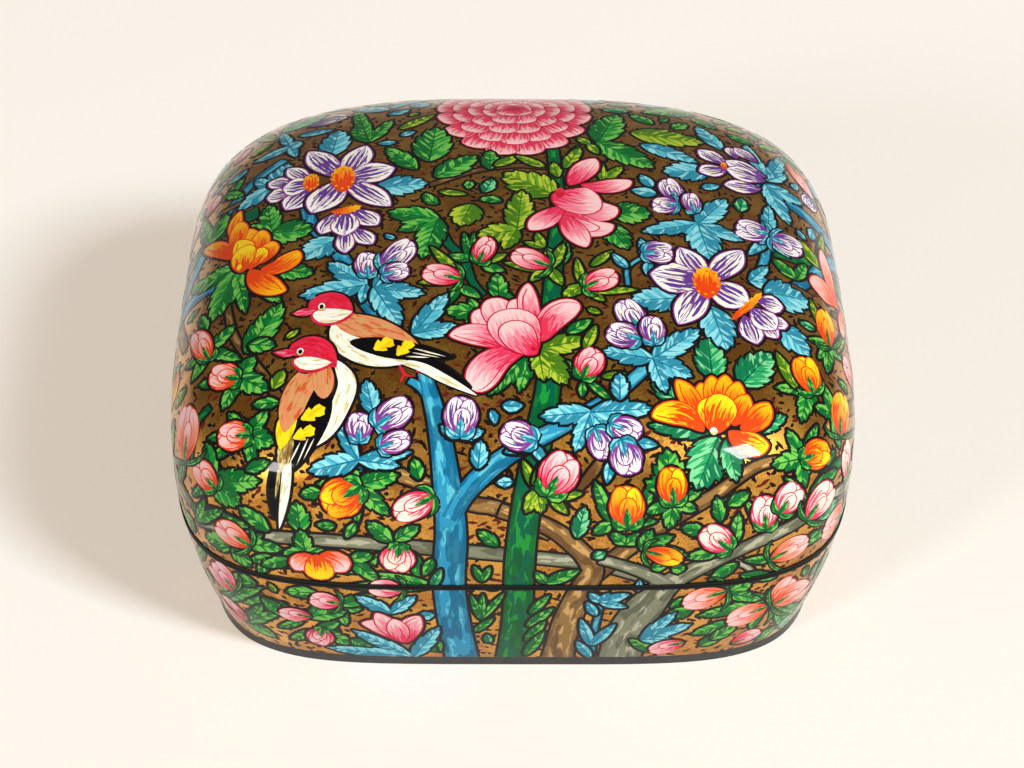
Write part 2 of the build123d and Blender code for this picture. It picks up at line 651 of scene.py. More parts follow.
OVAL = Shape()
ROUND_PETAL = Shape(0.62, 0.8, 0.45)
POINTED_PETAL = Shape(0.58, 0.7, 0.62)
SHELL = Shape(0.66, 0.6, 0.42)
SCALLOP = Shape(0.72, 0.35, 0.4)
STAR_PETAL = Shape(0.6, 0.95, 0.8)
HEART = Shape(0.5, 0.5, 0.5, teeth=5, depth=0.2)
HEART_CRESCENT = Shape(0.5, 0.45, 0.45, teeth=5, depth=0.35)
BLADE = Shape(0.42, 0.7, 1.0)
ROUND_LEAF = Shape(0.42, 0.6, 0.85)
BROAD_LEAF = Shape(0.38, 0.5, 0.8, teeth=4, depth=0.24, lean=0.06)
JAGGED_LEAF = Shape(0.4, 0.55, 0.9, teeth=3, depth=0.24, lean=0.06)
SMALL_LEAF = Shape(0.42, 0.6, 0.95, teeth=2, depth=0.2, lean=0.06)

GREEN = (Ink.PINE, Ink.FERN, Ink.LIME, Ink.PINE)
YELLOW_GREEN = (Ink.OLIVE, Ink.MOSS, Ink.CITRON, Ink.OLIVE)
JADE = (Ink.SPRUCE, Ink.JADE, Ink.MINT, Ink.SPRUCE)
BLUE = (Ink.TEAL, Ink.SKY, Ink.MIST, Ink.TEAL)

PINK = (Ink.ROSE, Ink.PINK, Ink.BLUSH, Ink.CRIMSON)
PALE_PINK = (Ink.ROSE, Ink.BLUSH, Ink.CREAM, Ink.ROSE)
LILAC = (Ink.PURPLE, Ink.CREAM, Ink.WHITE, Ink.MAUVE)
CORAL = (Ink.VERMILION, Ink.SALMON, Ink.BLUSH, Ink.VERMILION)
ORANGE = (Ink.VERMILION, Ink.ORANGE, Ink.AMBER, Ink.VERMILION)
AMBER = (Ink.VERMILION, Ink.AMBER, Ink.YELLOW, Ink.VERMILION)

BLUE_BARK = (Ink.HARBOUR, Ink.LAKE, Ink.SKY, Ink.HARBOUR)
GREEN_BARK = (Ink.PINE, Ink.SPRUCE, Ink.FERN, Ink.PINE)
OCHRE_BARK = (Ink.BROWN, Ink.TAN, Ink.SAND, Ink.BROWN)
GREY_BARK = (Ink.SLATE, Ink.STONE, Ink.ASH, Ink.SLATE)
BROWN_BARK = (Ink.BROWN, Ink.BROWN, Ink.TAN, Ink.BLACK)


def leaf(spot: Spot, base: Place, tip: Place, wide: float, inks: Inks = GREEN, bend: float = 0.0) -> Stroke:
    """One leaf, from its base to its tip. The wider it is, the more teeth it has."""
    shape = BROAD_LEAF if wide >= 25 else JAGGED_LEAF if wide >= 17 else SMALL_LEAF if wide >= 11.5 else ROUND_LEAF
    return spot.stroke([base, tip], wide, shape, Brush.LEAF, inks, bend, line=0.09, halo=0.46)


def petal(spot: Spot, base: Place, tip: Place, wide: float | tuple[float, float], inks: Inks,
          shape: Shape = ROUND_PETAL, bend: float = 0.0, **more: object) -> Stroke:
    """One petal, from its base to its tip."""
    return spot.stroke([base, tip], wide, shape, Brush.PETAL, inks, bend, **{"line": 0.23, "halo": 0.42, **more})


def around(radius: float, turn: float) -> Place:
    """The place at a distance and a turn from the motif's centre; a turn of 0 is its top."""
    return radius * math.sin(math.radians(turn)), -radius * math.cos(math.radians(turn))


def disc(spot: Spot, centre: Place, radius: float, inks: Inks, shape: Shape = OVAL, **more: object) -> Stroke:
    """A round dab of paint."""
    x, y = centre
    return spot.stroke([(x, y + radius), (x, y - radius)], 2 * radius, shape, Brush.PETAL, inks, **more)


@dataclass(frozen=True)
class Bud:
    """A bud of folded petals in its calyx; its base is the centre and its tip is up. In sheet points."""

    inks: Inks = PINK
    edge: Inks = PINK
    sepal: Inks = GREEN
    hatch: float = 0.5
    reach: float = 0.5
    long: float = 34.0
    wide: float = 26.0

    def paint(self, spot: Spot) -> Group:
        """The bud's strokes at a spot."""
        h, w, line = self.long, self.wide, 0.2 if self.wide > 16 else 0.12
        more = {"line": line, "hatch": self.hatch}
        made = [
            petal(spot, (0, 0), (0, -h), w, self.edge, Shape(0.5, 0.5, 0.55), reach=self.reach + 0.1, **more),
            petal(spot, (-w * 0.04, 0), (-w * 0.16, -h * 0.99), (w * 0.32, w * 0.2), self.inks, SHELL, -0.12, reach=self.reach, halo=0.0, **more),
            petal(spot, (w * 0.04, 0), (w * 0.2, -h * 0.95), (w * 0.18, w * 0.28), self.edge, SHELL, 0.12, reach=self.reach - 0.06, halo=0.0, **more),
            petal(spot, (0, h * 0.02), (w * 0.05, -h * 0.7), w * 0.5, self.inks, SHELL, reach=self.reach, halo=0.0, fold=float(w > 20), **more),
        ]
        calyx = [spot.stroke([(0, h * 0.08), around(h * 0.44, turn)], w * 0.23, BLADE, Brush.LEAF, self.sepal, turn * 0.003, line=0.06, halo=0.25)
                 for turn in (-62, 62, 0)]
        return made + calyx if self.wide > 13 else made[:2] + made[3:] + calyx[2:]


BUD_KINDS = {
    "pink": Bud(),
    "coral": Bud(CORAL, CORAL),
    "orange": Bud(ORANGE, AMBER, reach=0.7),
    "purple": Bud(LILAC, LILAC, BLUE, 0.75, 0.78),
    "striped": Bud(PALE_PINK, PALE_PINK, GREEN, 0.6, 0.55),
}


@dataclass(frozen=True)
class Dahlia:
    """A full round flower of rings of scalloped petals. In sheet points."""

    radius: float = 79.0
    rings: tuple[tuple[int, float], ...] = ((17, 1.0), (15, 0.8), (11, 0.6), (8, 0.4), (5, 0.22))
    inks: Inks = PINK
    nearer: float = 1.5  # how far its near half is drawn out

    def paint(self, spot: Spot) -> Group:
        """The flower's strokes at a spot."""
        def place(radius: float, turn: float) -> Place:
            """A place of the flower."""
            x, y = around(radius, turn)
            return x, y * (self.nearer if y > 0 else 1.0)

        made = []
        for ring, (count, outer) in enumerate(self.rings):
            wide = 2 * math.pi * self.radius * outer / count * 1.12
            for k in range(count):
                turn = 360 * (k + 0.5 * (ring % 2)) / count
                made.append(petal(spot, place(self.radius * max(outer - 0.34, 0.02), turn), place(self.radius * outer, turn), wide,
                                  self.inks, SCALLOP, line=0.22, halo=0.4 if ring == 0 else 0.0, reach=0.9, hatch=0.1))
        made.append(disc(spot, (0, 0), self.radius * 0.1, (Ink.CRIMSON, Ink.CRIMSON, Ink.ROSE, Ink.CRIMSON), line=0.0, halo=0.0))
        return made


# ---------------------------------------------------------------- the garden of the view sheet

Rows = tuple[tuple[float, ...], ...]

# Leaves, by their inks: x and y of the base, then x, y and width of each leaf's tip
SPRAYS: tuple[tuple[Inks, Rows], ...] = (
    (GREEN, (
        (369, 141, 353, 128, 16, 392, 119, 14, 357, 110, 16), (429, 160, 436, 127, 40), (416, 168, 387, 147, 20),
        (436, 176, 476, 155, 24), (490, 168, 490, 150, 18), (565, 176, 578, 145, 15), (598, 141, 653, 167, 26, 616, 114, 34),
        (613, 212, 650, 212, 26), (606, 222, 628, 248, 26), (438, 218, 389, 211, 22, 399, 230, 14, 422, 257, 30),
        (470, 259, 464, 232, 8, 474, 232, 7, 450, 254, 9), (483, 265, 504, 270, 9), (459, 285, 480, 297, 10, 450, 302, 8),
        (499, 298, 497, 273, 20, 513, 296, 14), (478, 312, 446, 309, 17, 474, 329, 21, 470, 298, 10),
        (564, 262, 565, 240, 12, 546, 247, 8), (532, 350, 519, 391, 17, 489, 394, 20), (568, 332, 591, 319, 11),
        (583, 382, 582, 396, 8), (588, 380, 611, 400, 7), (579, 378, 567, 360, 9),
        (223, 201, 243, 178, 10), (226, 194, 243, 195, 12), (271, 232, 268, 205, 25, 312, 229, 27, 247, 226, 16),
        (209, 244, 226, 214, 20, 202, 222, 16), (236, 268, 201, 282, 20, 191, 290, 18, 212, 320, 32, 245, 312, 18, 281, 302, 22),
        (279, 269, 312, 273, 20), (246, 352, 281, 303, 28), (249, 344, 274, 345, 17), (206, 331, 200, 316, 13),
        (208, 350, 234, 325, 12, 185, 367, 10, 191, 381, 11, 240, 359, 13), (238, 376, 254, 356, 15, 267, 390, 24, 222, 409, 15, 198, 385, 13),
        (278, 402, 253, 404, 12), (247, 434, 228, 413, 14, 267, 411, 14, 273, 443, 22, 253, 469, 13, 210, 459, 13, 207, 438, 12),
        (212, 482, 206, 443, 16, 259, 481, 26, 239, 505, 26, 192, 495, 10), (268, 531, 239, 508, 15), (191, 507, 252, 529, 12),
        (356, 486, 317, 484, 14, 345, 461, 16, 398, 475, 20, 388, 515, 18, 357, 525, 10), (320, 492, 301, 495, 13),
        (355, 524, 346, 538, 9), (300, 532, 296, 503, 23), (395, 541, 418, 527, 14), (419, 479, 414, 459, 14), (391, 542, 368, 523, 16),
        (243, 543, 282, 550, 14, 262, 535, 8), (273, 558, 250, 561, 10, 258, 573, 14), (230, 548, 206, 537, 20),
        (305, 552, 300, 531, 18, 283, 556, 14, 287, 568, 11, 356, 574, 16, 332, 556, 11), (380, 556, 360, 567, 12),
        (412, 553, 420, 579, 14), (434, 587, 341, 587, 10, 370, 574, 10), (227, 594, 254, 586, 11, 292, 609, 14),
        (243, 620, 276, 638, 14), (318, 631, 291, 640, 12, 353, 645, 13, 340, 622, 11), (338, 606, 361, 610, 12, 346, 626, 12),
        (316, 594, 286, 592, 12), (302, 622, 279, 628, 8), (497, 546, 479, 532, 12), (482, 582, 474, 567, 7, 490, 568, 7),
        (546, 584, 536, 573, 9, 579, 571, 11), (481, 620, 471, 596, 7, 483, 595, 7, 504, 594, 7), (475, 632, 493, 619, 7),
        (527, 627, 553, 609, 9), (526, 642, 545, 622, 10), (525, 656, 544, 632, 10), (530, 614, 549, 596, 8),
        (809, 389, 776, 387, 12, 802, 421, 18, 817, 408, 10), (830, 344, 809, 338, 9, 828, 372, 14, 843, 358, 12, 819, 358, 10),
        (834, 414, 816, 406, 13, 841, 448, 10, 826, 386, 10), (804, 458, 788, 430, 13, 818, 425, 10, 773, 465, 20, 803, 491, 14, 833, 462, 12),
        (797, 279, 774, 258, 12, 806, 264, 13), (766, 529, 746, 501, 10, 784, 512, 10), (721, 503, 722, 521, 13, 745, 500, 8),
        (721, 521, 717, 498, 13), (729, 505, 749, 494, 13), (703, 532, 683, 528, 13), (734, 547, 739, 514, 13), (720, 553, 685, 558, 10),
        (612, 524, 595, 482, 14, 594, 534, 12, 656, 522, 11), (642, 522, 651, 483, 12), (626, 545, 612, 534, 12, 642, 535, 12),
        (673, 498, 667, 450, 36, 646, 481, 14, 697, 482, 13), (674, 502, 669, 529, 18, 696, 511, 13, 647, 513, 13, 701, 492, 12),
        (640, 548, 673, 537, 12, 687, 556, 14, 652, 531, 12), (652, 568, 666, 567, 9), (672, 569, 685, 569, 11), (737, 564, 710, 581, 10),
        (773, 560, 745, 561, 8), (690, 600, 671, 608, 10), (764, 604, 733, 595, 13, 698, 617, 12, 751, 630, 13), (738, 622, 692, 635, 12),
        (700, 646, 722, 636, 10), (440, 652, 430, 634, 12), (812, 492, 838, 470, 12, 826, 508, 9), (184, 460, 191, 430, 9, 178, 480, 9),
        (308, 618, 346, 612, 14, 330, 600, 12), (339, 606, 374, 596, 13), (247, 622, 262, 605, 13, 282, 612, 13), (212, 575, 238, 601, 15),
        (226, 599, 262, 588, 13), (352, 640, 374, 651, 11), (262, 599, 288, 618, 12), (727, 594, 752, 583, 13, 762, 600, 13, 712, 584, 12),
        (775, 606, 801, 612, 13, 786, 628, 13), (692, 610, 664, 619, 12), (757, 640, 776, 627, 11), (652, 652, 630, 640, 11), (712, 640, 736, 626, 12),
        (196, 520, 222, 511, 13, 204, 500, 9), (232, 549, 250, 567, 14), (205, 546, 194, 562, 12), (350, 560, 378, 582, 14, 372, 556, 12), (290, 560, 262, 566, 13),
        (432, 560, 424, 576, 10), (246, 470, 268, 462, 12), (800, 546, 828, 530, 12), (742, 576, 776, 578, 12), (806, 500, 786, 478, 12),
        (836, 452, 816, 470, 12), (255, 585, 232, 576, 12), (420, 640, 436, 652, 10), (640, 470, 618, 460, 10), (500, 356, 486, 372, 9),
    )),
    (JADE, (
        (712, 431, 650, 425, 21), (718, 438, 697, 489, 44), (727, 440, 737, 481, 22), (681, 404, 653, 378, 20), (756, 430, 786, 416, 17),
        (713, 378, 708, 337, 33), (741, 384, 771, 353, 38), (577, 538, 585, 508, 17), (594, 558, 605, 553, 9), (818, 524, 838, 500, 11),
        (432, 588, 441, 570, 9), (792, 616, 812, 590, 10, 778, 628, 12), (196, 560, 208, 580, 9),
    )),
    (YELLOW_GREEN, (
        (554, 194, 505, 172, 36), (517, 229, 522, 190, 30, 478, 235, 22, 504, 248, 17), (558, 176, 553, 162, 12), (495, 165, 519, 155, 9),
        (544, 166, 516, 155, 8), (602, 180, 622, 166, 12, 601, 161, 8), (589, 143, 578, 137, 8, 598, 153, 9), (565, 167, 580, 147, 14),
        (632, 132, 703, 142, 27), (462, 277, 431, 246, 10, 419, 282, 9), (487, 261, 506, 253, 8), (545, 269, 505, 262, 8, 531, 280, 10),
        (543, 247, 537, 232, 9, 525, 241, 6), (551, 268, 546, 250, 10, 564, 243, 12, 562, 284, 11), (582, 284, 577, 258, 9, 564, 296, 14),
        (592, 265, 612, 250, 8), (589, 290, 637, 289, 7, 604, 300, 8), (538, 348, 586, 339, 21, 567, 383, 27, 544, 380, 21),
        (585, 348, 596, 325, 10), (603, 376, 626, 373, 6), (537, 490, 526, 513, 14, 541, 513, 17, 523, 461, 10), (533, 484, 552, 452, 9),
        (551, 498, 582, 494, 9, 567, 514, 9), (273, 388, 283, 370, 13), (820, 268, 799, 239, 15, 823, 234, 10), (797, 388, 777, 352, 11),
        (820, 324, 811, 299, 7), (400, 128, 434, 114, 9), (838, 352, 846, 330, 8),
    )),
    (BLUE, (
        (331, 155, 339, 130, 32), (270, 187, 288, 163, 24, 256, 179, 15, 238, 209, 19), (290, 146, 254, 162, 10, 301, 141, 14, 296, 156, 10, 282, 133, 12),
        (300, 135, 333, 129, 8), (376, 187, 427, 182, 25), (337, 238, 299, 257, 25), (366, 284, 329, 262, 23, 300, 295, 20, 361, 302, 11),
        (374, 287, 424, 293, 18, 400, 324, 26, 391, 258, 10), (413, 333, 447, 293, 21, 458, 325, 17), (373, 413, 366, 380, 20),
        (358, 460, 309, 471, 24, 411, 452, 14, 399, 466, 14, 335, 418, 15), (478, 468, 481, 441, 18), (512, 482, 497, 483, 10),
        (591, 412, 541, 416, 21, 575, 451, 19, 624, 449, 17, 652, 408, 23), (620, 399, 620, 373, 18), (634, 442, 657, 445, 10),
        (611, 461, 607, 483, 10), (707, 170, 664, 171, 25), (722, 149, 697, 126, 18), (768, 180, 745, 143, 15, 783, 157, 17, 786, 174, 15),
        (766, 184, 803, 203, 17, 790, 224, 21), (656, 193, 632, 189, 11), (652, 186, 641, 174, 11),
        (698, 223, 643, 231, 17, 726, 199, 26, 743, 240, 15, 711, 259, 36), (769, 238, 769, 205, 17, 749, 254, 11, 790, 257, 9),
        (649, 261, 641, 238, 12, 647, 274, 10), (627, 267, 613, 253, 9), (680, 297, 631, 300, 26), (711, 306, 727, 349, 36),
        (750, 280, 772, 283, 15, 768, 266, 13), (765, 291, 808, 300, 36), (779, 324, 810, 355, 24),
        (653, 358, 699, 329, 25, 603, 350, 20, 692, 376, 20, 666, 392, 18), (391, 614, 356, 597, 13, 415, 597, 13), (419, 618, 434, 615, 9),
        (413, 658, 353, 631, 13, 327, 648, 13, 439, 628, 18), (641, 640, 676, 613, 13, 691, 625, 12, 671, 640, 9),
        (600, 603, 590, 594, 9, 609, 594, 8, 629, 595, 9, 626, 608, 7), (596, 616, 587, 603, 9), (591, 646, 581, 620, 11, 615, 625, 10),
        (590, 658, 577, 642, 10), (638, 592, 640, 581, 7), (459, 437, 441, 426, 13, 483, 431, 13), (534, 446, 505, 452, 9, 545, 462, 10),
    )),
)

# Buds, by their kind: x and y of the base, x and y of the tip, and the width
BUDS: tuple[tuple[str, Rows], ...] = (
    ("pink", (
        (459, 278, 424, 270, 20), (479, 261, 489, 237, 21), (548, 265, 513, 252, 19), (586, 286, 616, 273, 23), (583, 376, 596, 349, 28),
        (549, 493, 569, 455, 39), (402, 590, 369, 588, 15), (683, 643, 649, 650, 12),
        (733, 644, 761, 633, 11), (339, 604, 310, 599, 14), (310, 617, 279, 612, 11), (233, 589, 211, 564, 18), (247, 620, 222, 596, 12),
        (322, 630, 318, 645, 27), (207, 216, 219, 195, 11), (235, 164, 250, 148, 8),
    )),
    ("striped", (
        (431, 498, 395, 516, 26), (399, 547, 396, 572, 34), (729, 549, 704, 530, 28), (766, 528, 765, 497, 27), (781, 512, 799, 486, 25),
        (809, 518, 833, 485, 21),
    )),
    ("orange", (
        (358, 488, 325, 509, 41), (628, 526, 626, 487, 34), (674, 503, 671, 468, 28), (830, 345, 823, 309, 15), (813, 391, 803, 357, 27), (841, 434, 842, 393, 16),
        (804, 459, 830, 450, 29), (647, 552, 682, 561, 15),
    )),
    ("coral", (
        (208, 358, 195, 333, 23), (237, 378, 210, 374, 28), (248, 435, 218, 436, 29), (214, 488, 195, 465, 23), (184, 459, 188, 406, 18),
        (725, 592, 683, 605, 15), (767, 607, 727, 623, 14), (773, 604, 795, 580, 21), (774, 605, 809, 584, 14), (248, 545, 216, 525, 19),
        (772, 560, 809, 540, 15),
    )),
    ("purple", (
        (367, 275, 367, 252, 24), (384, 268, 411, 241, 25), (384, 274, 408, 268, 18), (359, 440, 359, 413, 25), (378, 425, 409, 402, 28),
        (381, 447, 409, 437, 20), (460, 434, 462, 397, 33), (534, 440, 502, 431, 29), (596, 430, 606, 458, 24), (612, 424, 641, 433, 23),
        (622, 442, 631, 474, 31), (677, 199, 665, 179, 22), (677, 204, 653, 205, 17), (694, 211, 689, 193, 18), (767, 233, 737, 227, 23),
        (773, 238, 802, 250, 21), (645, 252, 672, 251, 24), (641, 330, 622, 300, 26), (638, 338, 608, 330, 24), (654, 342, 651, 316, 24),
        (311, 126, 347, 116, 9),
    )),
)

# Single petals: x and y of the base, x and y of the tip, the width, the bend, and 1 for a turned edge
PINK_PEONY: Rows = (
    (504, 349, 478, 309, 26, 0, 0), (512, 338, 492, 298, 32, 0, 0), (524, 340, 514, 299, 26, 0.1, 0), (542, 337, 528, 283, 20, -0.1, 1),
    (542, 340, 579, 303, 28, -0.16, 1), (512, 349, 450, 335, 21, 0.12, 1), (522, 352, 477, 391, 31, 0.2, 1),
    (534, 353, 507, 309, 49, -0.06, 0), (536, 353, 511, 321, 33, -0.08, 0),
)
LOTUS: Rows = (
    (570, 184, 595, 158, 23, 0, 0), (582, 184, 631, 180, 15, 0.08, 0), (570, 204, 617, 207, 24, 0.1, 0), (565, 207, 613, 224, 22, 0.22, 0),
    (563, 215, 599, 227, 13, 0.1, 0), (563, 214, 586, 246, 23, 0, 0), (563, 206, 530, 229, 22, 0, 0), (554, 193, 601, 200, 32, 0.06, 0),
)
ORANGE_PEONY: Rows = (
    (712, 420, 701, 383, 20, 0, 0), (718, 418, 712, 376, 20, 0, 0), (724, 418, 726, 375, 20, 0, 0), (730, 420, 739, 382, 20, 0, 0),
    (734, 424, 748, 395, 20, 0, 0), (699, 424, 677, 380, 19, 0.08, 1), (742, 428, 769, 403, 23, 0.1, 1), (703, 430, 653, 416, 22, 0.2, 1),
    (730, 432, 769, 445, 23, 0.12, 1), (716, 432, 706, 398, 26, 0.05, 0), (716, 432, 727, 396, 32, -0.05, 0),
)
SIDE_PEONY: Rows = (
    (238, 240, 240, 211, 15, -0.15, 1), (252, 256, 236, 232, 18, 0, 0), (254, 258, 248, 229, 22, 0, 0), (258, 258, 261, 230, 20, 0, 0),
    (262, 262, 272, 241, 20, 0, 0), (230, 258, 204, 250, 18, 0.2, 1), (226, 252, 238, 222, 18, 0.16, 0), (262, 268, 297, 250, 17, 0.14, 1),
    (250, 270, 285, 290, 24, 0.12, 1), (248, 266, 237, 241, 24, 0.1, 1), (250, 268, 262, 247, 20, 0, 0), (242, 271, 244, 246, 26, 0, 0),
)
DROOPING_FLOWER: Rows = ((312, 557, 295, 570, 20, 0.1, 0), (320, 557, 345, 572, 22, -0.1, 0), (316, 556, 321, 580, 28, 0, 0))
SIDE_FLOWER: Rows = ((836, 304, 822, 250, 15, 0, 0), (838, 308, 811, 282, 24, 0.1, 1), (842, 312, 843, 336, 12, 0, 0))
TULIP: Rows = ((402, 642, 362, 624, 15, 0.1, 0), (402, 642, 376, 614, 18, 0, 0), (406, 643, 419, 617, 22, -0.1, 1), (404, 643, 393, 620, 20, 0, 0))

# Striped flowers: x, y and radius of the heart; then petals, the lowest first: x and y of the base and the tip, and the width
DAISIES: tuple[tuple[tuple[float, ...], Rows], ...] = (
    ((311, 182, 8), ((291, 183, 269, 182, 15), (289, 192, 267, 197, 17), (310, 180, 288, 168, 17), (310, 188, 286, 209, 24), (312, 183, 283, 188, 22))),
    ((343, 178, 12), ((343, 178, 309, 151, 26), (343, 178, 366, 145, 27), (343, 178, 390, 205, 24), (343, 178, 394, 167, 25), (343, 178, 312, 212, 33))),
    ((347, 209, 0), ((354, 228, 372, 243, 18), (345, 228, 345, 252, 18), (338, 212, 321, 233, 20), (355, 209, 377, 224, 21), (346, 210, 344, 235, 28))),
    ((747, 306, 0), ((768, 320, 788, 324, 13), (764, 324, 778, 337, 13), (758, 300, 783, 306, 17), (745, 316, 757, 343, 22), (752, 308, 776, 329, 23))),
    ((707, 282, 14), ((707, 282, 742, 250, 27), (707, 282, 680, 247, 26), (707, 282, 679, 323, 30), (707, 282, 749, 304, 27), (707, 282, 651, 273, 30))),
    ((724, 165, 3), ((736, 157, 729, 147, 13), (756, 161, 735, 147, 13), (726, 163, 699, 149, 16), (726, 168, 700, 171, 17), (760, 188, 725, 184, 15),
                     (765, 176, 726, 160, 18), (764, 180, 727, 168, 20))),
)
CRESCENTS = (((331, 211), (345, 210), (361, 205)), ((732, 319), (750, 304), (762, 292)))  # hearts of the half flowers

# Trunks and boughs, by their inks: the places along each, and its width at each
TRUNKS: tuple[tuple[Inks, tuple[tuple[float, ...], ...]], ...] = (
    (GREY_BARK, ((196, 522, 6, 250, 535, 10, 380, 545, 11, 510, 556, 12, 600, 566, 12, 650, 579, 13),)),
    (BROWN_BARK, ((226, 300, 6, 232, 332, 8, 244, 352, 8, 263, 375, 9, 288, 412, 8), (607, 452, 7, 592, 474, 10, 576, 492, 6), (430, 184, 4, 476, 170, 4, 516, 165, 4, 545, 167, 4),
                  (812, 297, 6, 792, 285, 5), (218, 214, 4, 244, 200, 4))),
    (OCHRE_BARK, ((552, 534, 17, 500, 510, 14, 470, 504, 14, 430, 486, 13, 366, 464, 10), (590, 578, 20, 630, 548, 15, 670, 522, 13, 712, 497, 12, 754, 468, 10, 780, 460, 8))),
    (OCHRE_BARK, ((556, 664, 33, 566, 625, 29, 580, 594, 27, 592, 568, 24, 567, 540, 19, 540, 524, 17, 500, 511, 15),)),
    (GREY_BARK, ((618, 664, 32, 628, 632, 31, 652, 600, 29, 676, 580, 16, 718, 560, 11, 750, 546, 10, 800, 522, 9, 846, 486, 7), (670, 588, 14, 650, 576, 12, 622, 566, 10, 600, 560, 9),
                 (735, 562, 6, 748, 568, 6, 760, 579, 4))),
    (GREEN_BARK, ((510, 664, 30, 517, 620, 29, 520, 560, 29, 526, 510, 27, 540, 430, 24, 549, 380, 21, 552, 300, 17, 556, 240, 14, 558, 200, 13, 553, 148, 12),
                  (438, 218, 8, 446, 240, 9, 463, 257, 8, 472, 280, 7, 484, 294, 5))),
    (GREEN_BARK, ((209, 407, 5, 196, 424, 5, 189, 462, 4), (842, 461, 7, 822, 480, 8, 808, 506, 6))),
    (BLUE_BARK, ((442, 424, 13, 432, 400, 12, 420, 386, 10, 409, 380, 7), (463, 664, 34, 453, 616, 32, 449, 580, 31, 451, 530, 31, 445, 470, 27, 437, 420, 20, 424, 372, 13), (450, 520, 18, 470, 488, 20, 508, 455, 17, 560, 427, 15, 612, 396, 14, 650, 364, 12))),
    (BLUE_BARK, ((306, 206, 12, 313, 225, 13, 341, 256, 14, 360, 291, 16, 378, 316, 15), (590, 664, 7, 594, 634, 6, 602, 600, 5))),
    (BLUE_BARK, ((768, 238, 10, 764, 262, 9, 752, 284, 8), (690, 258, 8, 700, 232, 6), (628, 284, 4, 628, 267, 4, 646, 254, 4), (354, 440, 9, 358, 472, 8))),
)

CREAM = (Ink.STRAW, Ink.CREAM, Ink.WHITE, Ink.BLACK)
RUSTY = (Ink.RUST, Ink.CLAY, Ink.SAND, Ink.RUST)
TAWNY = (Ink.BROWN, Ink.TAN, Ink.STRAW, Ink.BLACK)
BLACK = (Ink.BLACK, Ink.BLACK, Ink.BLACK, Ink.BLACK)
RED = (Ink.CRIMSON, Ink.SCARLET, Ink.ROSE, Ink.CRIMSON)
YELLOW = (Ink.AMBER, Ink.YELLOW, Ink.YELLOW, Ink.BLACK)
BEAK = (Ink.CRIMSON, Ink.ROSE, Ink.PINK, Ink.CRIMSON)
BODY = Shape(0.4, 0.55, 0.75)
BAR = Shape(0.5, 0.35, 0.35, teeth=2, depth=0.5)

# Birds, stroke by stroke: the inks, the shape, the width, the black line round it, and the places along it
BIRDS: tuple[tuple[tuple[Inks, Shape, float, float, tuple[float, ...]], ...], ...] = (
    (
        (RED, BLADE, 2.6, 0, (398, 362, 405, 374, 414, 376)), (RED, BLADE, 2.4, 0, (405, 372, 400, 382)), (RED, BLADE, 2.4, 0, (414, 366, 420, 374)),
        (BLACK, BODY, 15, 0.3, (396, 352, 420, 361, 444, 372, 470, 387)), (CREAM, BODY, 10, 0.2, (396, 360, 420, 366, 444, 378, 477, 395)),
        (CREAM, BODY, 29, 0.4, (334, 322, 348, 341, 374, 355, 408, 362)), (RUSTY, BODY, 25, 0.4, (334, 316, 354, 323, 382, 331, 418, 344)),
        (BLACK, BODY, 20, 0.3, (350, 341, 376, 345, 404, 350, 453, 357)),
        (YELLOW, BAR, 15, 0, (374, 349, 393, 339)), (YELLOW, BAR, 14, 0, (397, 355, 412, 340)),
        (CREAM, BLADE, 1.6, 0, (406, 356, 430, 357)), (CREAM, BLADE, 1.6, 0, (414, 348, 446, 356)), (CREAM, BLADE, 1.4, 0, (412, 352, 440, 357)),
        (RED, BODY, 19, 0.4, (311, 309, 319, 303, 333, 302, 352, 314)), (BEAK, BLADE, 8, 0.4, (315, 310, 292, 313)),
        (BLACK, OVAL, 6, 0, (312, 317, 322, 322, 330, 326)), (RED, BODY, 19, 0, (311, 313, 331, 316, 354, 313)), (CREAM, BODY, 15, 0, (313, 313, 331, 315, 352, 311)),
    ),
    (
        (BLACK, BODY, 15, 0.4, (284, 446, 275, 490, 274, 518)), (CREAM, BODY, 10, 0.4, (288, 446, 285, 490, 279, 529)),
        (TAWNY, BODY, 4, 0, (280, 462, 275, 500)), (TAWNY, BODY, 16, 0.4, (289, 434, 280, 472)),
        (CREAM, BODY, 19, 0.4, (336, 360, 347, 382, 340, 406, 327, 431, 306, 450)),
        (YELLOW, BODY, 19, 0.4, (292, 408, 285, 428, 280, 450)), (RUSTY, BODY, 30, 0.2, (318, 364, 303, 386, 290, 410, 284, 432)),
        (BLACK, BODY, 27, 0.2, (323, 382, 318, 410, 307, 438, 292, 472)), (RUSTY, OVAL, 22, 0, (322, 362, 324, 398)),
        (YELLOW, BAR, 15, 0, (301, 419, 325, 407)), (YELLOW, BAR, 14, 0, (293, 438, 315, 428)),
        (CREAM, BLADE, 1.6, 0, (300, 442, 288, 466)), (CREAM, BLADE, 1.6, 0, (308, 438, 296, 466)), (CREAM, BLADE, 1.4, 0, (314, 438, 303, 460)),
        (CREAM, BLADE, 1.5, 0, (290, 472, 286, 490)),
        (RED, BODY, 25, 0.4, (291, 354, 300, 348, 315, 349, 336, 366)), (BEAK, BLADE, 8, 0.4, (296, 353, 273, 352)),
        (BLACK, OVAL, 6, 0, (292, 362, 300, 369, 308, 373)), (RED, BODY, 18, 0, (292, 360, 311, 364, 334, 363)), (CREAM, BODY, 14, 0, (294, 360, 311, 363, 331, 362)),
    ),
)
EYES = ((321.5, 306), (300, 351))
SHORE = 700.0  # y of the sheet below the foot


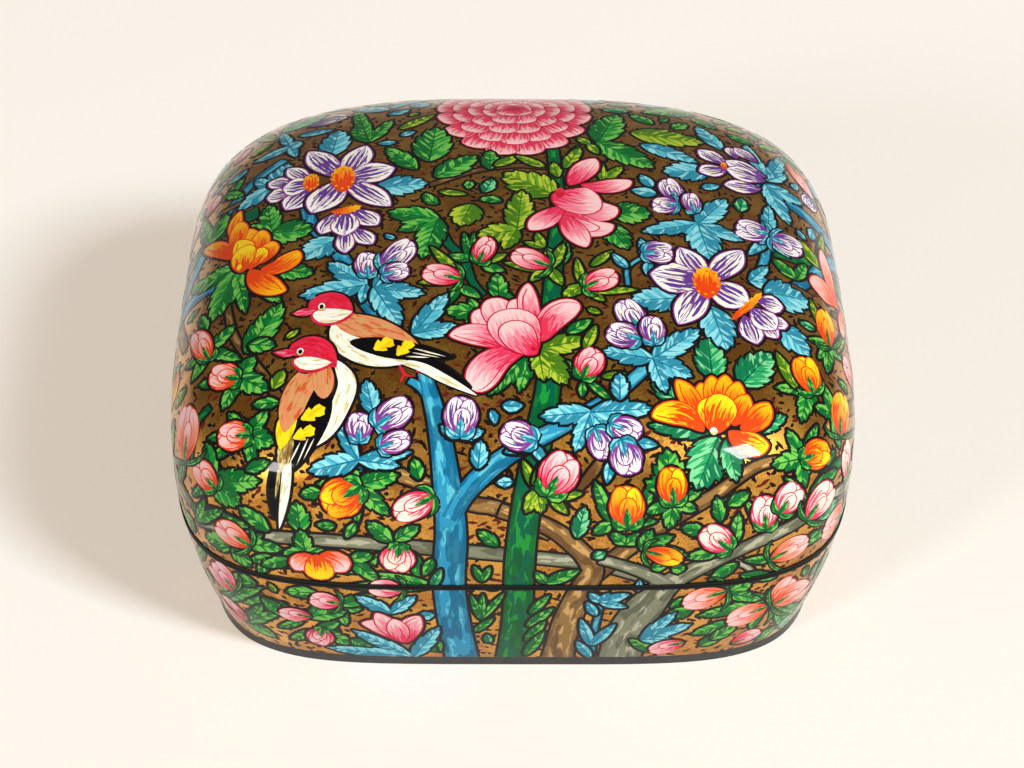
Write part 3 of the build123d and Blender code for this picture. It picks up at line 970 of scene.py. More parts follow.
@dataclass(frozen=True)
class Garden:
    """The garden of the view sheet, painted on one side of the box."""

    form: Form
    easel: Easel
    view: Viewpoint
    shy: float | None = None  # the greatest share of a shape that may cover other paint
    other: tuple[tuple[str, str], ...] = ()  # kinds of bud that trade places on this side

    @property
    def spot(self) -> Spot:
        """The whole sheet as one spot."""
        return SheetSpot(self.form, 0.0, 1.0, self.view)

    def lay(self, strokes: Group) -> bool:
        """Lays a group, on a shy side only where there is room for it."""
        return self.easel.lay(strokes, self.shy)

    def trunks(self, top: float = 0.0) -> None:
        """The trees and the boughs that cross them, up to a place on the sheet."""
        for inks, boughs in TRUNKS:
            made = []
            for row in boughs:
                run_up = [place for place in zip(row[::3], row[1::3], row[2::3]) if place[1] > top]
                if len(run_up) > 1 and (top == 0 or max(row[2::3]) > 9.5):
                    x, y, widths = zip(*run_up)
                    made.append(self.spot.stroke(list(zip(x, y)), max(widths), BLADE, Brush.BARK, inks,
                                                 widths=[w / max(widths) for w in widths], line=0.0, halo=0.42))
            if made:
                self.easel.lay(made)

    def leaves(self) -> None:
        """The sprays of leaves."""
        for inks, rows in SPRAYS:
            for x, y, *tips in rows:
                made = [leaf(self.spot, (x, y), tips[k:k + 2], tips[k + 2], inks) for k in range(0, len(tips), 3)]
                for group in [made] if self.shy is None else [[one] for one in made]:
                    self.lay(group)

    def petals(self, rows: Rows, inks: Inks, front: Inks | None = None, fronts: int = 1, heart: tuple = (), reach: float = 0.5) -> Group:
        """A flower petal by petal; its last ones may have other inks, and its heart is x, y, radius and inks."""
        made = [petal(self.spot, row[:2], row[2:4], row[4], front if front and k >= len(rows) - fronts else inks,
                      POINTED_PETAL if row[4] < 26 else SHELL, row[5], fold=row[6], reach=reach) for k, row in enumerate(rows)]
        if heart:
            x, y, radius, tint = heart
            made.append(disc(self.spot, (x, y), radius, tint, line=0.0, halo=0.0))
        return made

    def flowers(self) -> None:
        """The large flowers."""
        spot, lay = self.spot, self.lay
        ember = (Ink.VERMILION, Ink.ORANGE, Ink.AMBER, Ink.RUST)
        lay(self.petals(PINK_PEONY, PINK, heart=(534, 347, 4, RED)))
        lay(self.petals(LOTUS, PINK, heart=(560, 192, 5, RED)))
        lay(self.petals(ORANGE_PEONY, ORANGE, AMBER, 4, (714, 431, 4, CREAM), 0.7))
        lay(self.petals(SIDE_PEONY, ORANGE, AMBER, 3, (239, 267, 3, YELLOW), 0.66))
        lay(self.petals(SIDE_FLOWER, CORAL))
        lay(self.petals(DROOPING_FLOWER, CORAL, AMBER))
        lay(self.petals(TULIP, PINK))
        for (x, y, radius), rows in DAISIES:
            made = [petal(spot, row[:2], row[2:4], row[4], LILAC, STAR_PETAL, hatch=1.0, reach=0.68) for row in rows]
            if radius:
                made.append(disc(spot, (x, y), radius * 1.1, ember, HEART, line=0.05, halo=0.0, reach=0.8))
                made += [disc(spot, (x + dx, y + dy), 1.5, ember, line=0.03, halo=0.0)
                         for dx, dy in (around(radius * 0.85, 37 * k) for k in range(9 if radius > 6 else 0))]
            lay(made)
        for places in CRESCENTS:
            lay([spot.stroke(places, 9, HEART_CRESCENT, Brush.PETAL, ember, line=0.05, halo=0.0)])

    def buds(self) -> None:
        """The buds."""
        trade = dict(self.other)
        for name, rows in BUDS:
            bud = BUD_KINDS[trade.get(name, name)]
            for x, y, tip_x, tip_y, wide in rows:
                long = math.hypot(tip_x - x, tip_y - y)
                turn = math.degrees(math.atan2(tip_x - x, y - tip_y))
                self.lay(replace(bud, long=long, wide=wide).paint(replace(self.spot, turn=turn, at=(x, y))))

    def birds(self) -> None:
        """The two finches."""
        for rows, eye in zip(BIRDS, EYES):
            made = [self.spot.stroke(list(zip(row[::2], row[1::2])), wide, shape, Brush.FEATHER, inks, line=0.05 if halo else 0.03, halo=halo)
                    for inks, shape, wide, halo, row in rows]
            made += [disc(self.spot, eye, 3.8, CREAM, line=0.05, halo=0.0), disc(self.spot, eye, 2.3, BLACK, line=0.0, halo=0.0)]
            self.easel.lay(made)


@dataclass(frozen=True)
class Undergrowth:
    """Leaves that fill the bare ground between the flowers. Sizes in millimetres."""

    form: Form
    easel: Easel
    rounds: tuple[tuple[int, float, float], ...] = ((14000, 5.6, 0.52), (16000, 4.2, 0.56), (18000, 3.0, 0.6), (22000, 2.1, 0.62))
    margin: float = 0.3  # of bare ground round a leaf
    turns: int = 10
    seed: int = 5
    seam: float = 18.7

    def scatter(self, random: np.random.Generator, count: int) -> Points:
        """Points scattered over the form."""
        start = unit(random.normal(size=(count, 3)) * (1.0, 1.0, 0.8)) * (50.0, 50.0, 30.0) + (0.0, 0.0, 22.0)
        points = self.form.settle(start, 12)
        return points[points[:, 2] > self.form.foot_top + 0.8]

    def grow(self, tone: Callable[[Points], Inks]) -> int:
        """Lays leaves, the longest first, each turned the way it fits.

        Args:
            tone: gives the inks of a leaf at a point of the form.
        Returns:
            How many were laid.
        """
        random = np.random.default_rng(self.seed)
        laid = 0
        s, a = (g.ravel() for g in np.meshgrid((-0.5, -0.36, -0.18, 0.0, 0.18, 0.36, 0.5), (-1.0, -0.5, 0.0, 0.5, 1.0)))
        for tries, mean, wide in self.rounds:
            points = self.scatter(random, tries)
            points = points[self.easel.heights[self.easel.index(self.form.flatten(points))] == 0]
            long = mean * random.uniform(0.85, 1.2, len(points))
            turn = random.uniform(0, 2 * math.pi, len(points))
            normal = self.form.normal(points)
            side = unit(np.cross(normal, (0.3, 0.2, 1.0)))
            other = np.cross(normal, side)
            fits = []
            for k in range(self.turns):
                angle = turn + 2 * math.pi * k / self.turns
                way = side * np.cos(angle)[:, None] + other * np.sin(angle)[:, None]
                across = np.cross(normal, way)
                reach_s = s[None] * (long[:, None] + 2 * self.margin)
                reach_a = a[None] * (long[:, None] * wide / 2 * (1.1 - np.abs(s) * 0.8) + self.margin)
                grid = points[:, None] + way[:, None] * reach_s[..., None] + across[:, None] * reach_a[..., None]
                grid = grid.reshape(-1, 3)
                clear = (np.abs(grid[:, 2] - self.seam) > 0.7) & (grid[:, 2] > self.form.foot_top + 0.4)
                cells = self.easel.index(self.form.flatten(grid).reshape(len(points), -1, 2))
                fits.append((way, cells, clear.reshape(len(points), -1).all(1)))
            for n in range(len(points)):
                for way, (rows, columns), clear in fits:
                    if clear[n] and not self.easel.heights[rows[n], columns[n]].any():
                        spot = SkinSpot(self.form, 0.0, 1.0, points[n], way[n])
                        half = long[n] / 2 * SHEET_POINTS
                        bend = float(random.uniform(-0.14, 0.14))
                        laid += self.easel.lay([leaf(spot, (0, half), (0, -half), long[n] * wide * SHEET_POINTS * random.uniform(0.85, 1.1),
                                                     tone(points[n]), bend=bend)], 0.06)
                        break
        return laid


BLUE_BEDS = ((335, 180, 80), (370, 260, 55), (455, 310, 40), (370, 425, 50), (470, 410, 45), (600, 420, 60), (650, 340, 60),
             (700, 270, 90), (720, 180, 90), (600, 620, 40))  # x, y and reach on the sheet


@dataclass
class Painting:
    """The whole painting: the garden on the front, and the gardens that carry it on round the other sides."""

    form: Form
    view: Viewpoint
    easel: Easel = None

    def __post_init__(self) -> None:
        """Sets up the easel."""
        self.easel = Easel(self.form)

    def side_views(self) -> list[Viewpoint]:
        """The sheets of the right side, the left side and the back."""
        return [replace(self.view, azimuth=azimuth, roll=0.0, flipped=flipped) for azimuth, flipped in ((90, True), (-90, True), (180, False))]

    def tone(self, point: Points) -> Inks:
        """The inks of a leaf at a point: blue by the purple flowers, and greens elsewhere."""
        views = [self.view, *self.side_views()]
        view = max(views, key=lambda v: float(point @ v.axes()[0]) + (20.0 if v is self.view else 0.0))
        x, y = view.project(point[None])[0]
        near = min(math.hypot(x - a, y - b) / r for a, b, r in BLUE_BEDS)
        pick = self.easel.random.random()
        if near < 1 and pick < 0.85:
            return BLUE
        return GREEN if pick < 0.62 else JADE if pick < 0.8 else YELLOW_GREEN

    def crown_flower(self) -> None:
        """The full round flower behind the crown."""
        eye, _, up, _ = self.view.axes()
        point = self.form.drop(eye, self.view.rays(np.array([(514.0, 108.0)])))[0]
        self.easel.lay(Dahlia().paint(SkinSpot(self.form, 0.0, 1.0, point, up)))

    def paint(self) -> list[Film]:
        """Lays the whole painting and returns its films."""
        trades = ((("pink", "orange"), ("orange", "pink")), (("purple", "striped"), ("coral", "purple")), (("pink", "coral"), ("orange", "striped")))
        sides = [Garden(self.form, self.easel, view, 0.16, other) for view, other in zip(self.side_views(), trades)]
        for side in sides:
            side.trunks(300.0)
        front = Garden(self.form, self.easel, self.view)
        front.trunks()
        self.crown_flower()
        front.leaves()
        front.flowers()
        front.buds()
        front.birds()
        log.info("front laid, %d films", len(self.easel.films))
        for side in sides:
            side.flowers()
            side.buds()
            side.leaves()
            log.info("side at %d laid, %d films", side.view.azimuth, len(self.easel.films))
        laid = Undergrowth(self.form, self.easel).grow(self.tone)
        log.info("%d leaves between, %d films, %d high", laid, len(self.easel.films), self.easel.heights.max())
        return self.easel.films


# ---------------------------------------------------------------- shader maths

Setting = dict[str, object]


class Wire:
    """An output socket of a shader tree, with arithmetic."""

    def __init__(self, tree: "Tree", socket: bpy.types.NodeSocket) -> None:
        """Keeps the tree and the socket."""
        self.tree, self.socket = tree, socket

    def _math(self, operation: str, *values: object) -> "Wire":
        """A Math node on these values."""
        return self.tree.node("ShaderNodeMath", {"operation": operation}, dict(enumerate(values)))

    def __add__(self, other: object) -> "Wire":
        """This and another, added."""
        return self._math("ADD", self, other)

    __radd__ = __add__

    def __sub__(self, other: object) -> "Wire":
        """This less another."""
        return self._math("SUBTRACT", self, other)

    def __rsub__(self, other: object) -> "Wire":
        """Another less this."""
        return self._math("SUBTRACT", other, self)

    def __mul__(self, other: object) -> "Wire":
        """This times another."""
        return self._math("MULTIPLY", self, other)

    __rmul__ = __mul__

    def __truediv__(self, other: object) -> "Wire":
        """This divided by another."""
        return self._math("DIVIDE", self, other)

    def __abs__(self) -> "Wire":
        """This without its sign."""
        return self._math("ABSOLUTE", self)

    def part(self) -> "Wire":
        """What is left of this above its whole number."""
        return self._math("FRACT", self)

    def least(self, other: object) -> "Wire":
        """The lesser of this and another."""
        return self._math("MINIMUM", self, other)

    def most(self, other: object) -> "Wire":
        """The greater of this and another."""
        return self._math("MAXIMUM", self, other)

    def rise(self, low: object, high: object) -> "Wire":
        """0 below one value and 1 above another, with a smooth step between."""
        return self.tree.node("ShaderNodeMapRange", {"interpolation_type": "SMOOTHSTEP"},
                              {"Value": self, "From Min": low, "From Max": high})


class Tree:
    """The node tree of one finish."""

    def __init__(self, name: str) -> None:
        """Makes an empty material."""
        self.material = bpy.data.materials.new(name)
        self.material.use_nodes = True
        self.nodes, self.links = self.material.node_tree.nodes, self.material.node_tree.links
        self.nodes.clear()

    def put(self, socket: bpy.types.NodeSocket, value: object) -> None:
        """Gives a socket a value or a link."""
        if isinstance(value, Wire):
            self.links.new(value.socket, socket)
        elif isinstance(value, (tuple, list)) and socket.type == "RGBA":
            socket.default_value = (*value[:3], 1.0)
        else:
            socket.default_value = value

    def node(self, kind: str, settings: Setting, values: dict, output: object = 0) -> Wire:
        """Adds a node.

        Args:
            kind: its type.
            settings: its properties, set first; "stops" are a ramp's stops.
            values: the value or wire of each input, by name or number.
            output: the name or number of the output.
        Returns:
            A wire from that output.
        """
        node = self.nodes.new(kind)
        for name, value in settings.items():
            if name == "stops":
                for stop, (position, colour) in zip([*node.color_ramp.elements, *[None] * 8], value):
                    stop = stop or node.color_ramp.elements.new(position)
                    stop.position, stop.color = position, (*colour[:3], 1.0)
            else:
                setattr(node, name, value)
        for name, value in values.items():
            self.put(node.inputs[name], value)
        return Wire(self, node.outputs[output])

    def attribute(self, name: str, output: str = "Vector") -> Wire:
        """One of the mesh's own attributes."""
        return self.node("ShaderNodeAttribute", {"attribute_name": name}, {}, output)

    def split(self, vector: Wire) -> tuple[Wire, Wire, Wire]:
        """The three parts of a vector."""
        node = self.node("ShaderNodeSeparateXYZ", {}, {0: vector}).socket.node
        return tuple(Wire(self, node.outputs[k]) for k in range(3))

    def vector(self, x: object, y: object, z: object = 0.0) -> Wire:
        """A vector of three parts."""
        return self.node("ShaderNodeCombineXYZ", {}, {0: x, 1: y, 2: z})

    def noise(self, vector: Wire, scale: float, detail: float = 2.0, output: str = "Fac") -> Wire:
        """Soft noise from 0 to 1."""
        return self.node("ShaderNodeTexNoise", {}, {"Vector": vector, "Scale": scale, "Detail": detail}, output)

    def blend(self, share: object, first: object, second: object) -> Wire:
        """A colour between two, by a share."""
        node = self.node("ShaderNodeMix", {"data_type": "RGBA"}, {0: share, 6: first, 7: second}, 2)
        return node

    def surface(self, sockets: dict) -> bpy.types.Material:
        """Ends the tree in one shader, with these values on its sockets."""
        shader = self.node("ShaderNodeBsdfPrincipled", {}, sockets)
        out = self.nodes.new("ShaderNodeOutputMaterial")
        self.links.new(shader.socket, out.inputs["Surface"])
        return self.material

    def bump(self, height: Wire, strength: float, distance: float) -> Wire:
        """A normal from a height."""
        return self.node("ShaderNodeBump", {}, {"Height": height, "Strength": strength, "Distance": distance}, "Normal")


# ---------------------------------------------------------------- finishes


@dataclass(frozen=True)
class Lacquer:
    """The clear varnish over all the paint."""

    coat: float = 1.0
    coat_roughness: float = 0.06
    coat_index: float = 1.22

    def over(self, **sockets: object) -> dict:
        """The sockets of a lacquered surface."""
        return {"Coat Weight": self.coat, "Specular IOR Level": 0.05, "Coat Roughness": self.coat_roughness, "Coat IOR": self.coat_index,
                **{name.replace("_", " "): value for name, value in sockets.items()}}


@dataclass(frozen=True)
class FilmPaint:
    """Paint laid in films: the colours and places come from each film's own attributes."""

    name: str
    brush: Brush
    lacquer: Lacquer = Lacquer()
    roughness: float = 0.45

    def material(self) -> bpy.types.Material:
        """The finish of this brush."""
        t = Tree(self.name)
        u, v, rim = t.split(t.attribute("share"))
        s, a, seed = t.split(t.attribute("place"))
        reach, fold, hatch = (t.attribute(name, "Alpha") for name in ("deep", "body", "light"))
        deep, body, light, line = (t.attribute(name, "Color") for name in ("deep", "body", "light", "line"))
        across = abs(a)
        coat = self.lacquer.over
        if self.brush is Brush.OUTLINE:
            worn = t.noise(t.vector(s, a, seed * 40), 0.8)
            return t.surface(coat(Base_Color=t.blend(worn, Ink.BLACK.linear(), (0.016, 0.011, 0.009)), Roughness=0.4))
        if self.brush is Brush.PETAL:
            strokes = t.noise(t.vector(a * 3.4, s * 0.32, seed * 60), 1.0, 1.0)
            fine = t.noise(t.vector(a * 7.0, s * 0.5, seed * 90), 1.0, 1.0)
            colour = t.blend((u + (strokes - 0.5) * 1.0).rise(0.42, 0.92), body, light)
            tongue = abs(abs(abs(v) - 0.38) - 0.17).rise(0.17, 0.04) * (hatch - 0.3) * 0.9
            flame = (reach * (0.95 + tongue * 1.2 - hatch * 0.4) + (strokes - 0.5) * (1.0 + hatch * 0.6) + (fine - 0.5) * 0.7 - u).rise(0.0, 0.1)
            colour = t.blend(flame * 0.97, colour, deep)
            colour = t.blend(((rim * 6.5 + u * 0.5).rise(1.3, 0.75) * (u.rise(0.25, 0.5))) * 0.7, colour, light)
            vein = (across * 7.0 + (fine - 0.5)).rise(1.0, 0.5) * u.rise(0.3, 0.45) * hatch.rise(0.75, 0.85)
            colour = t.blend(vein * 0.6, colour, line)
            turned = fold * (abs(rim - 0.52 - s * 0.02) * 8.0).rise(1.0, 0.6) * (v * 10).rise(0.0, 1.0) * u.rise(0.15, 0.25)
            colour = t.blend(turned, colour, line)
            height = strokes
        elif self.brush is Brush.LEAF:
            slant = s - across * 1.1
            strokes = t.noise(t.vector(slant * 1.25, across * 0.5, seed * 60 + v * 0.4), 1.0, 1.0)
            gap = abs((slant * 0.6 + seed).part() - 0.5)
            dark_side = (v * 5.0 + (strokes - 0.5) * 3.0).rise(-0.5, 1.0)
            colour = t.blend(dark_side * 0.72, body, deep)
            dabs = (strokes + gap * 0.24 + u * 0.06 - v * 0.09 - rim * 0.02).rise(0.585, 0.635)
            colour = t.blend(dabs * 0.85, colour, light)
            veins = gap.rise(0.075, 0.035) * abs(v).rise(0.85, 0.6)
            colour = t.blend(veins * 0.8, colour, deep)
            rib = (across * 8.0 + u * 0.7).rise(1.5, 0.9)
            colour = t.blend(rib, colour, deep)
            height = strokes
        elif self.brush is Brush.BARK:
            strokes = t.noise(t.vector(s * 0.3, a * 0.95, seed * 60), 1.0, 2.0)
            blocks = t.noise(t.vector(s * 0.17 + 9, a * 0.6, seed * 90), 1.0, 1.0)
            colour = t.blend(strokes.rise(0.52, 0.56), body, light)
            colour = t.blend(blocks.rise(0.53, 0.57) * 0.8, colour, deep)
            colour = t.blend((abs(v) + (strokes - 0.5)).rise(0.62, 0.82) * 0.7, colour, deep)
            height = blocks
        else:
            strokes = t.noise(t.vector(s * 0.55, a * 3.2, seed * 60), 1.0, 2.0)
            colour = t.blend(strokes.rise(0.45, 0.58), body, light)
            colour = t.blend(t.noise(t.vector(s * 0.4 + 5, a * 2.0, seed * 80), 1.0, 2.0).rise(0.54, 0.62) * 0.9, colour, deep)
            height = strokes
        colour = t.blend(rim.rise(0.008, -0.008), colour, line)
        return t.surface(coat(Base_Color=colour, Roughness=self.roughness, Normal=t.bump(height, 0.15, 0.00005)))


@dataclass(frozen=True)
class BronzeGround:
    """Bronze paint between the flowers, ticked with dark brown and crimson."""

    name: str = "bronze_ground"
    lacquer: Lacquer = Lacquer()
    tick_cell: float = 1.9  # mm
    tick_length: float = 0.66
    tick_width: float = 0.26

    def material(self) -> bpy.types.Material:
        """The finish of the ground."""
        t = Tree(self.name)
        place = t.node("ShaderNodeTexCoord", {}, {}, "Object")
        normal = t.node("ShaderNodeNewGeometry", {}, {}, "Normal")
        mm = t.node("ShaderNodeVectorMath", {"operation": "SCALE"}, {0: place, "Scale": 1 / MM})

        def vector(operation: str, *values: object, output: str = "Vector") -> Wire:
            """A Vector Math node."""
            return t.node("ShaderNodeVectorMath", {"operation": operation}, dict(enumerate(values)), output)

        drift = t.noise(mm, 1.1, 2.0, "Color")
        bent = vector("ADD", mm, vector("MULTIPLY", vector("SUBTRACT", drift, (0.5, 0.5, 0.5)), (0.5, 0.5, 0.5)))
        marks = 0.0
        colours = []
        for offset, cell in (((0.0, 0.0, 0.0), self.tick_cell), ((31.0, 7.0, 13.0), self.tick_cell * 1.3)):
            shifted = vector("ADD", bent, offset)
            cells = t.node("ShaderNodeTexVoronoi", {"feature": "F1"}, {"Vector": shifted, "Scale": 1 / cell}, "Position").socket.node
            centre = vector("MULTIPLY", Wire(t, cells.outputs["Position"]), (1.0, 1.0, 1.0))
            off = vector("SUBTRACT", shifted, centre)
            flat = vector("SUBTRACT", off, vector("MULTIPLY", normal, vector("DOT_PRODUCT", off, normal, output="Value")))
            tint = Wire(t, cells.outputs["Color"])
            way = vector("NORMALIZE", vector("MULTIPLY", vector("SUBTRACT", tint, (0.5, 0.5, 0.5)), (1.0, 1.0, 0.5)))
            way = vector("NORMALIZE", vector("SUBTRACT", way, vector("MULTIPLY", normal, vector("DOT_PRODUCT", way, normal, output="Value"))))
            along = vector("DOT_PRODUCT", flat, way, output="Value")
            aside = vector("LENGTH", vector("SUBTRACT", flat, vector("MULTIPLY", way, along)), output="Value")
            pick, size, third = t.split(tint)
            long = self.tick_length * (0.5 + size)
            tick = (abs(along) / long).rise(1.0, 0.85) * (aside / (self.tick_width * (1.35 - abs(along) / long))).rise(1.1, 0.8)
            tick = tick * third.rise(0.25, 0.3)
            marks = tick.most(marks)
            colours.append((tick, pick))
        cloud = t.noise(mm, 0.16, 3.0)
        grain = t.noise(mm, 3.0, 3.0)
        colour = t.blend((cloud + (grain - 0.5) * 0.7).rise(0.35, 0.65), (0.44, 0.175, 0.022), (0.72, 0.35, 0.06))
        for tick, pick in colours:
            ink = t.blend(pick.rise(0.66, 0.7), (0.012, 0.006, 0.004), (0.12, 0.012, 0.008))
            colour = t.blend(tick, colour, ink)
        return t.surface(self.lacquer.over(Base_Color=colour, Metallic=0.92 * (1.0 - marks), Roughness=0.29 + grain * 0.1,
                                           Normal=t.bump(grain, 0.2, 0.00004)))


@dataclass(frozen=True)
class PlainFinish:
    """A finish of one stuff: its two colours, and how coarse and how rough it is."""

    name: str
    dark: tuple[float, float, float]
    pale: tuple[float, float, float]
    scale: float  # per millimetre
    roughness: float
    relief: float  # mm
    coat: float = 0.0
    specular: float = 0.5

    def material(self) -> bpy.types.Material:
        """The finish."""
        t = Tree(self.name)
        place = t.node("ShaderNodeTexCoord", {}, {}, "Object")
        mm = t.node("ShaderNodeVectorMath", {"operation": "SCALE"}, {0: place, "Scale": 1 / MM})
        coarse, fine = t.noise(mm, self.scale, 3.0), t.noise(mm, self.scale * 6, 4.0)
        mix = (coarse * 0.6 + fine * 0.4).rise(0.35, 0.65)
        return t.surface({"Base Color": t.blend(mix, self.dark, self.pale), "Roughness": self.roughness + fine * 0.1,
                          "Normal": t.bump(fine, 0.4, self.relief * MM), "Specular IOR Level": self.specular, "Coat Weight": self.coat, "Coat Roughness": 0.06})


# ---------------------------------------------------------------- the pieces


class Part(Enum):
    """The two bodies of the box."""

    LID = "lid"
    TRAY = "tray"


def mesh_piece(name: str, points: Points, faces: Sequence[Sequence[int]], material: bpy.types.Material) -> bpy.types.Object:
    """A mesh object from points in millimetres.

    Args:
        name: of the piece.
        points: its vertices.
        faces: its faces, by vertex number.
        material: its finish.
    Returns:
        The object, in the scene.
    """
    mesh = bpy.data.meshes.new(name)
    mesh.from_pydata((np.asarray(points) * MM).tolist(), [], [list(map(int, f)) for f in faces])
    mesh.materials.append(material)
    piece = bpy.data.objects.new(name, mesh)
    bpy.context.scene.collection.objects.link(piece)
    return piece


def shade_by(piece: bpy.types.Object, form: Form) -> None:
    """Gives a piece the form's own normals, so that the lacquer over it is one smooth skin."""
    mesh = piece.data
    points = np.empty(len(mesh.vertices) * 3, np.float32)
    mesh.vertices.foreach_get("co", points)
    mesh.shade_smooth()
    mesh.normals_split_custom_set_from_vertices(form.normal(points.reshape(-1, 3).astype(float) / MM).tolist())


def skin_map(piece: bpy.types.Object, form: Form) -> None:
    """Gives a piece its flattened place as a UV map."""
    mesh = piece.data
    points = np.empty(len(mesh.vertices) * 3, np.float32)
    mesh.vertices.foreach_get("co", points)
    corners = np.empty(len(mesh.loops), np.int32)
    mesh.loops.foreach_get("vertex_index", corners)
    flat = form.flatten(points.reshape(-1, 3).astype(float) / MM) / (2 * MAP_HALF) + 0.5
    mesh.uv_layers.new(name="OFBake").data.foreach_set("uv", flat[corners].astype(np.float32).ravel())


def cut_off(piece: bpy.types.Object, height: float, keep_above: bool) -> None:
    """Cuts a piece at a height in millimetres and keeps one side."""
    edit = bmesh.new()
    edit.from_mesh(piece.data)
    way = -1 if keep_above else 1
    bmesh.ops.bisect_plane(edit, geom=[*edit.verts, *edit.edges, *edit.faces], dist=1e-7, plane_co=(0, 0, height * MM),
                           plane_no=(0, 0, way), clear_outer=True)
    edit.to_mesh(piece.data)
    edit.free()


@dataclass
class Coats:
    """Turns the films of the painting into pieces of the lid and the tray."""

    form: Form
    films: list[Film]
    slots: dict[Part, str] = field(default_factory=lambda: {Part.LID: "painted_lid", Part.TRAY: "painted_tray"})

    def lifted(self, film: Film) -> Points:
        """The film's points at its height under the lacquer."""
        depth = FIRST_FILM - FILM_STEP * np.minimum(film.heights, TOP_FILM)
        return film.points - self.form.normal(film.points) * depth[:, None]

    def build(self, part: Part, brush: Brush, material: bpy.types.Material) -> bpy.types.Object | None:
        """The piece that one brush painted on one body."""
        low, high = (self.form.lid_low, 99.0) if part is Part.LID else (self.form.foot_top + 0.02, self.form.tray_high)
        films = [f for f in self.films if f.brush is brush and f.points[:, 2].max() > low and f.points[:, 2].min() < high]
        if not films:
            return None
        starts = np.concatenate([[0], np.cumsum([len(f.points) for f in films])])
        points = np.vstack([self.lifted(f) for f in films])
        faces = np.vstack([f.faces + start for f, start in zip(films, starts)])
        piece = mesh_piece(f"{part.value}_{brush.value}", points, faces, material)
        mesh = piece.data
        for name, values in (("share", np.vstack([f.share for f in films])), ("place", np.vstack([f.place for f in films]))):
            mesh.attributes.new(name, "FLOAT_VECTOR", "POINT").data.foreach_set("vector", values.astype(np.float32).ravel())
        for number, name in enumerate(("deep", "body", "light", "line")):
            values = np.vstack([np.broadcast_to(f.inks[number], (len(f.points), 4)) for f in films])
            mesh.attributes.new(name, "FLOAT_COLOR", "POINT").data.foreach_set("color", values.astype(np.float32).ravel())
        if points[:, 2].min() < low:
            cut_off(piece, low, True)
        if points[:, 2].max() > high:
            cut_off(piece, high, False)
        skin_map(piece, self.form)
        shade_by(piece, self.form)
        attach(piece, part.value)
        log.info("%s: %d faces", piece.name, len(piece.data.polygons))
        return piece


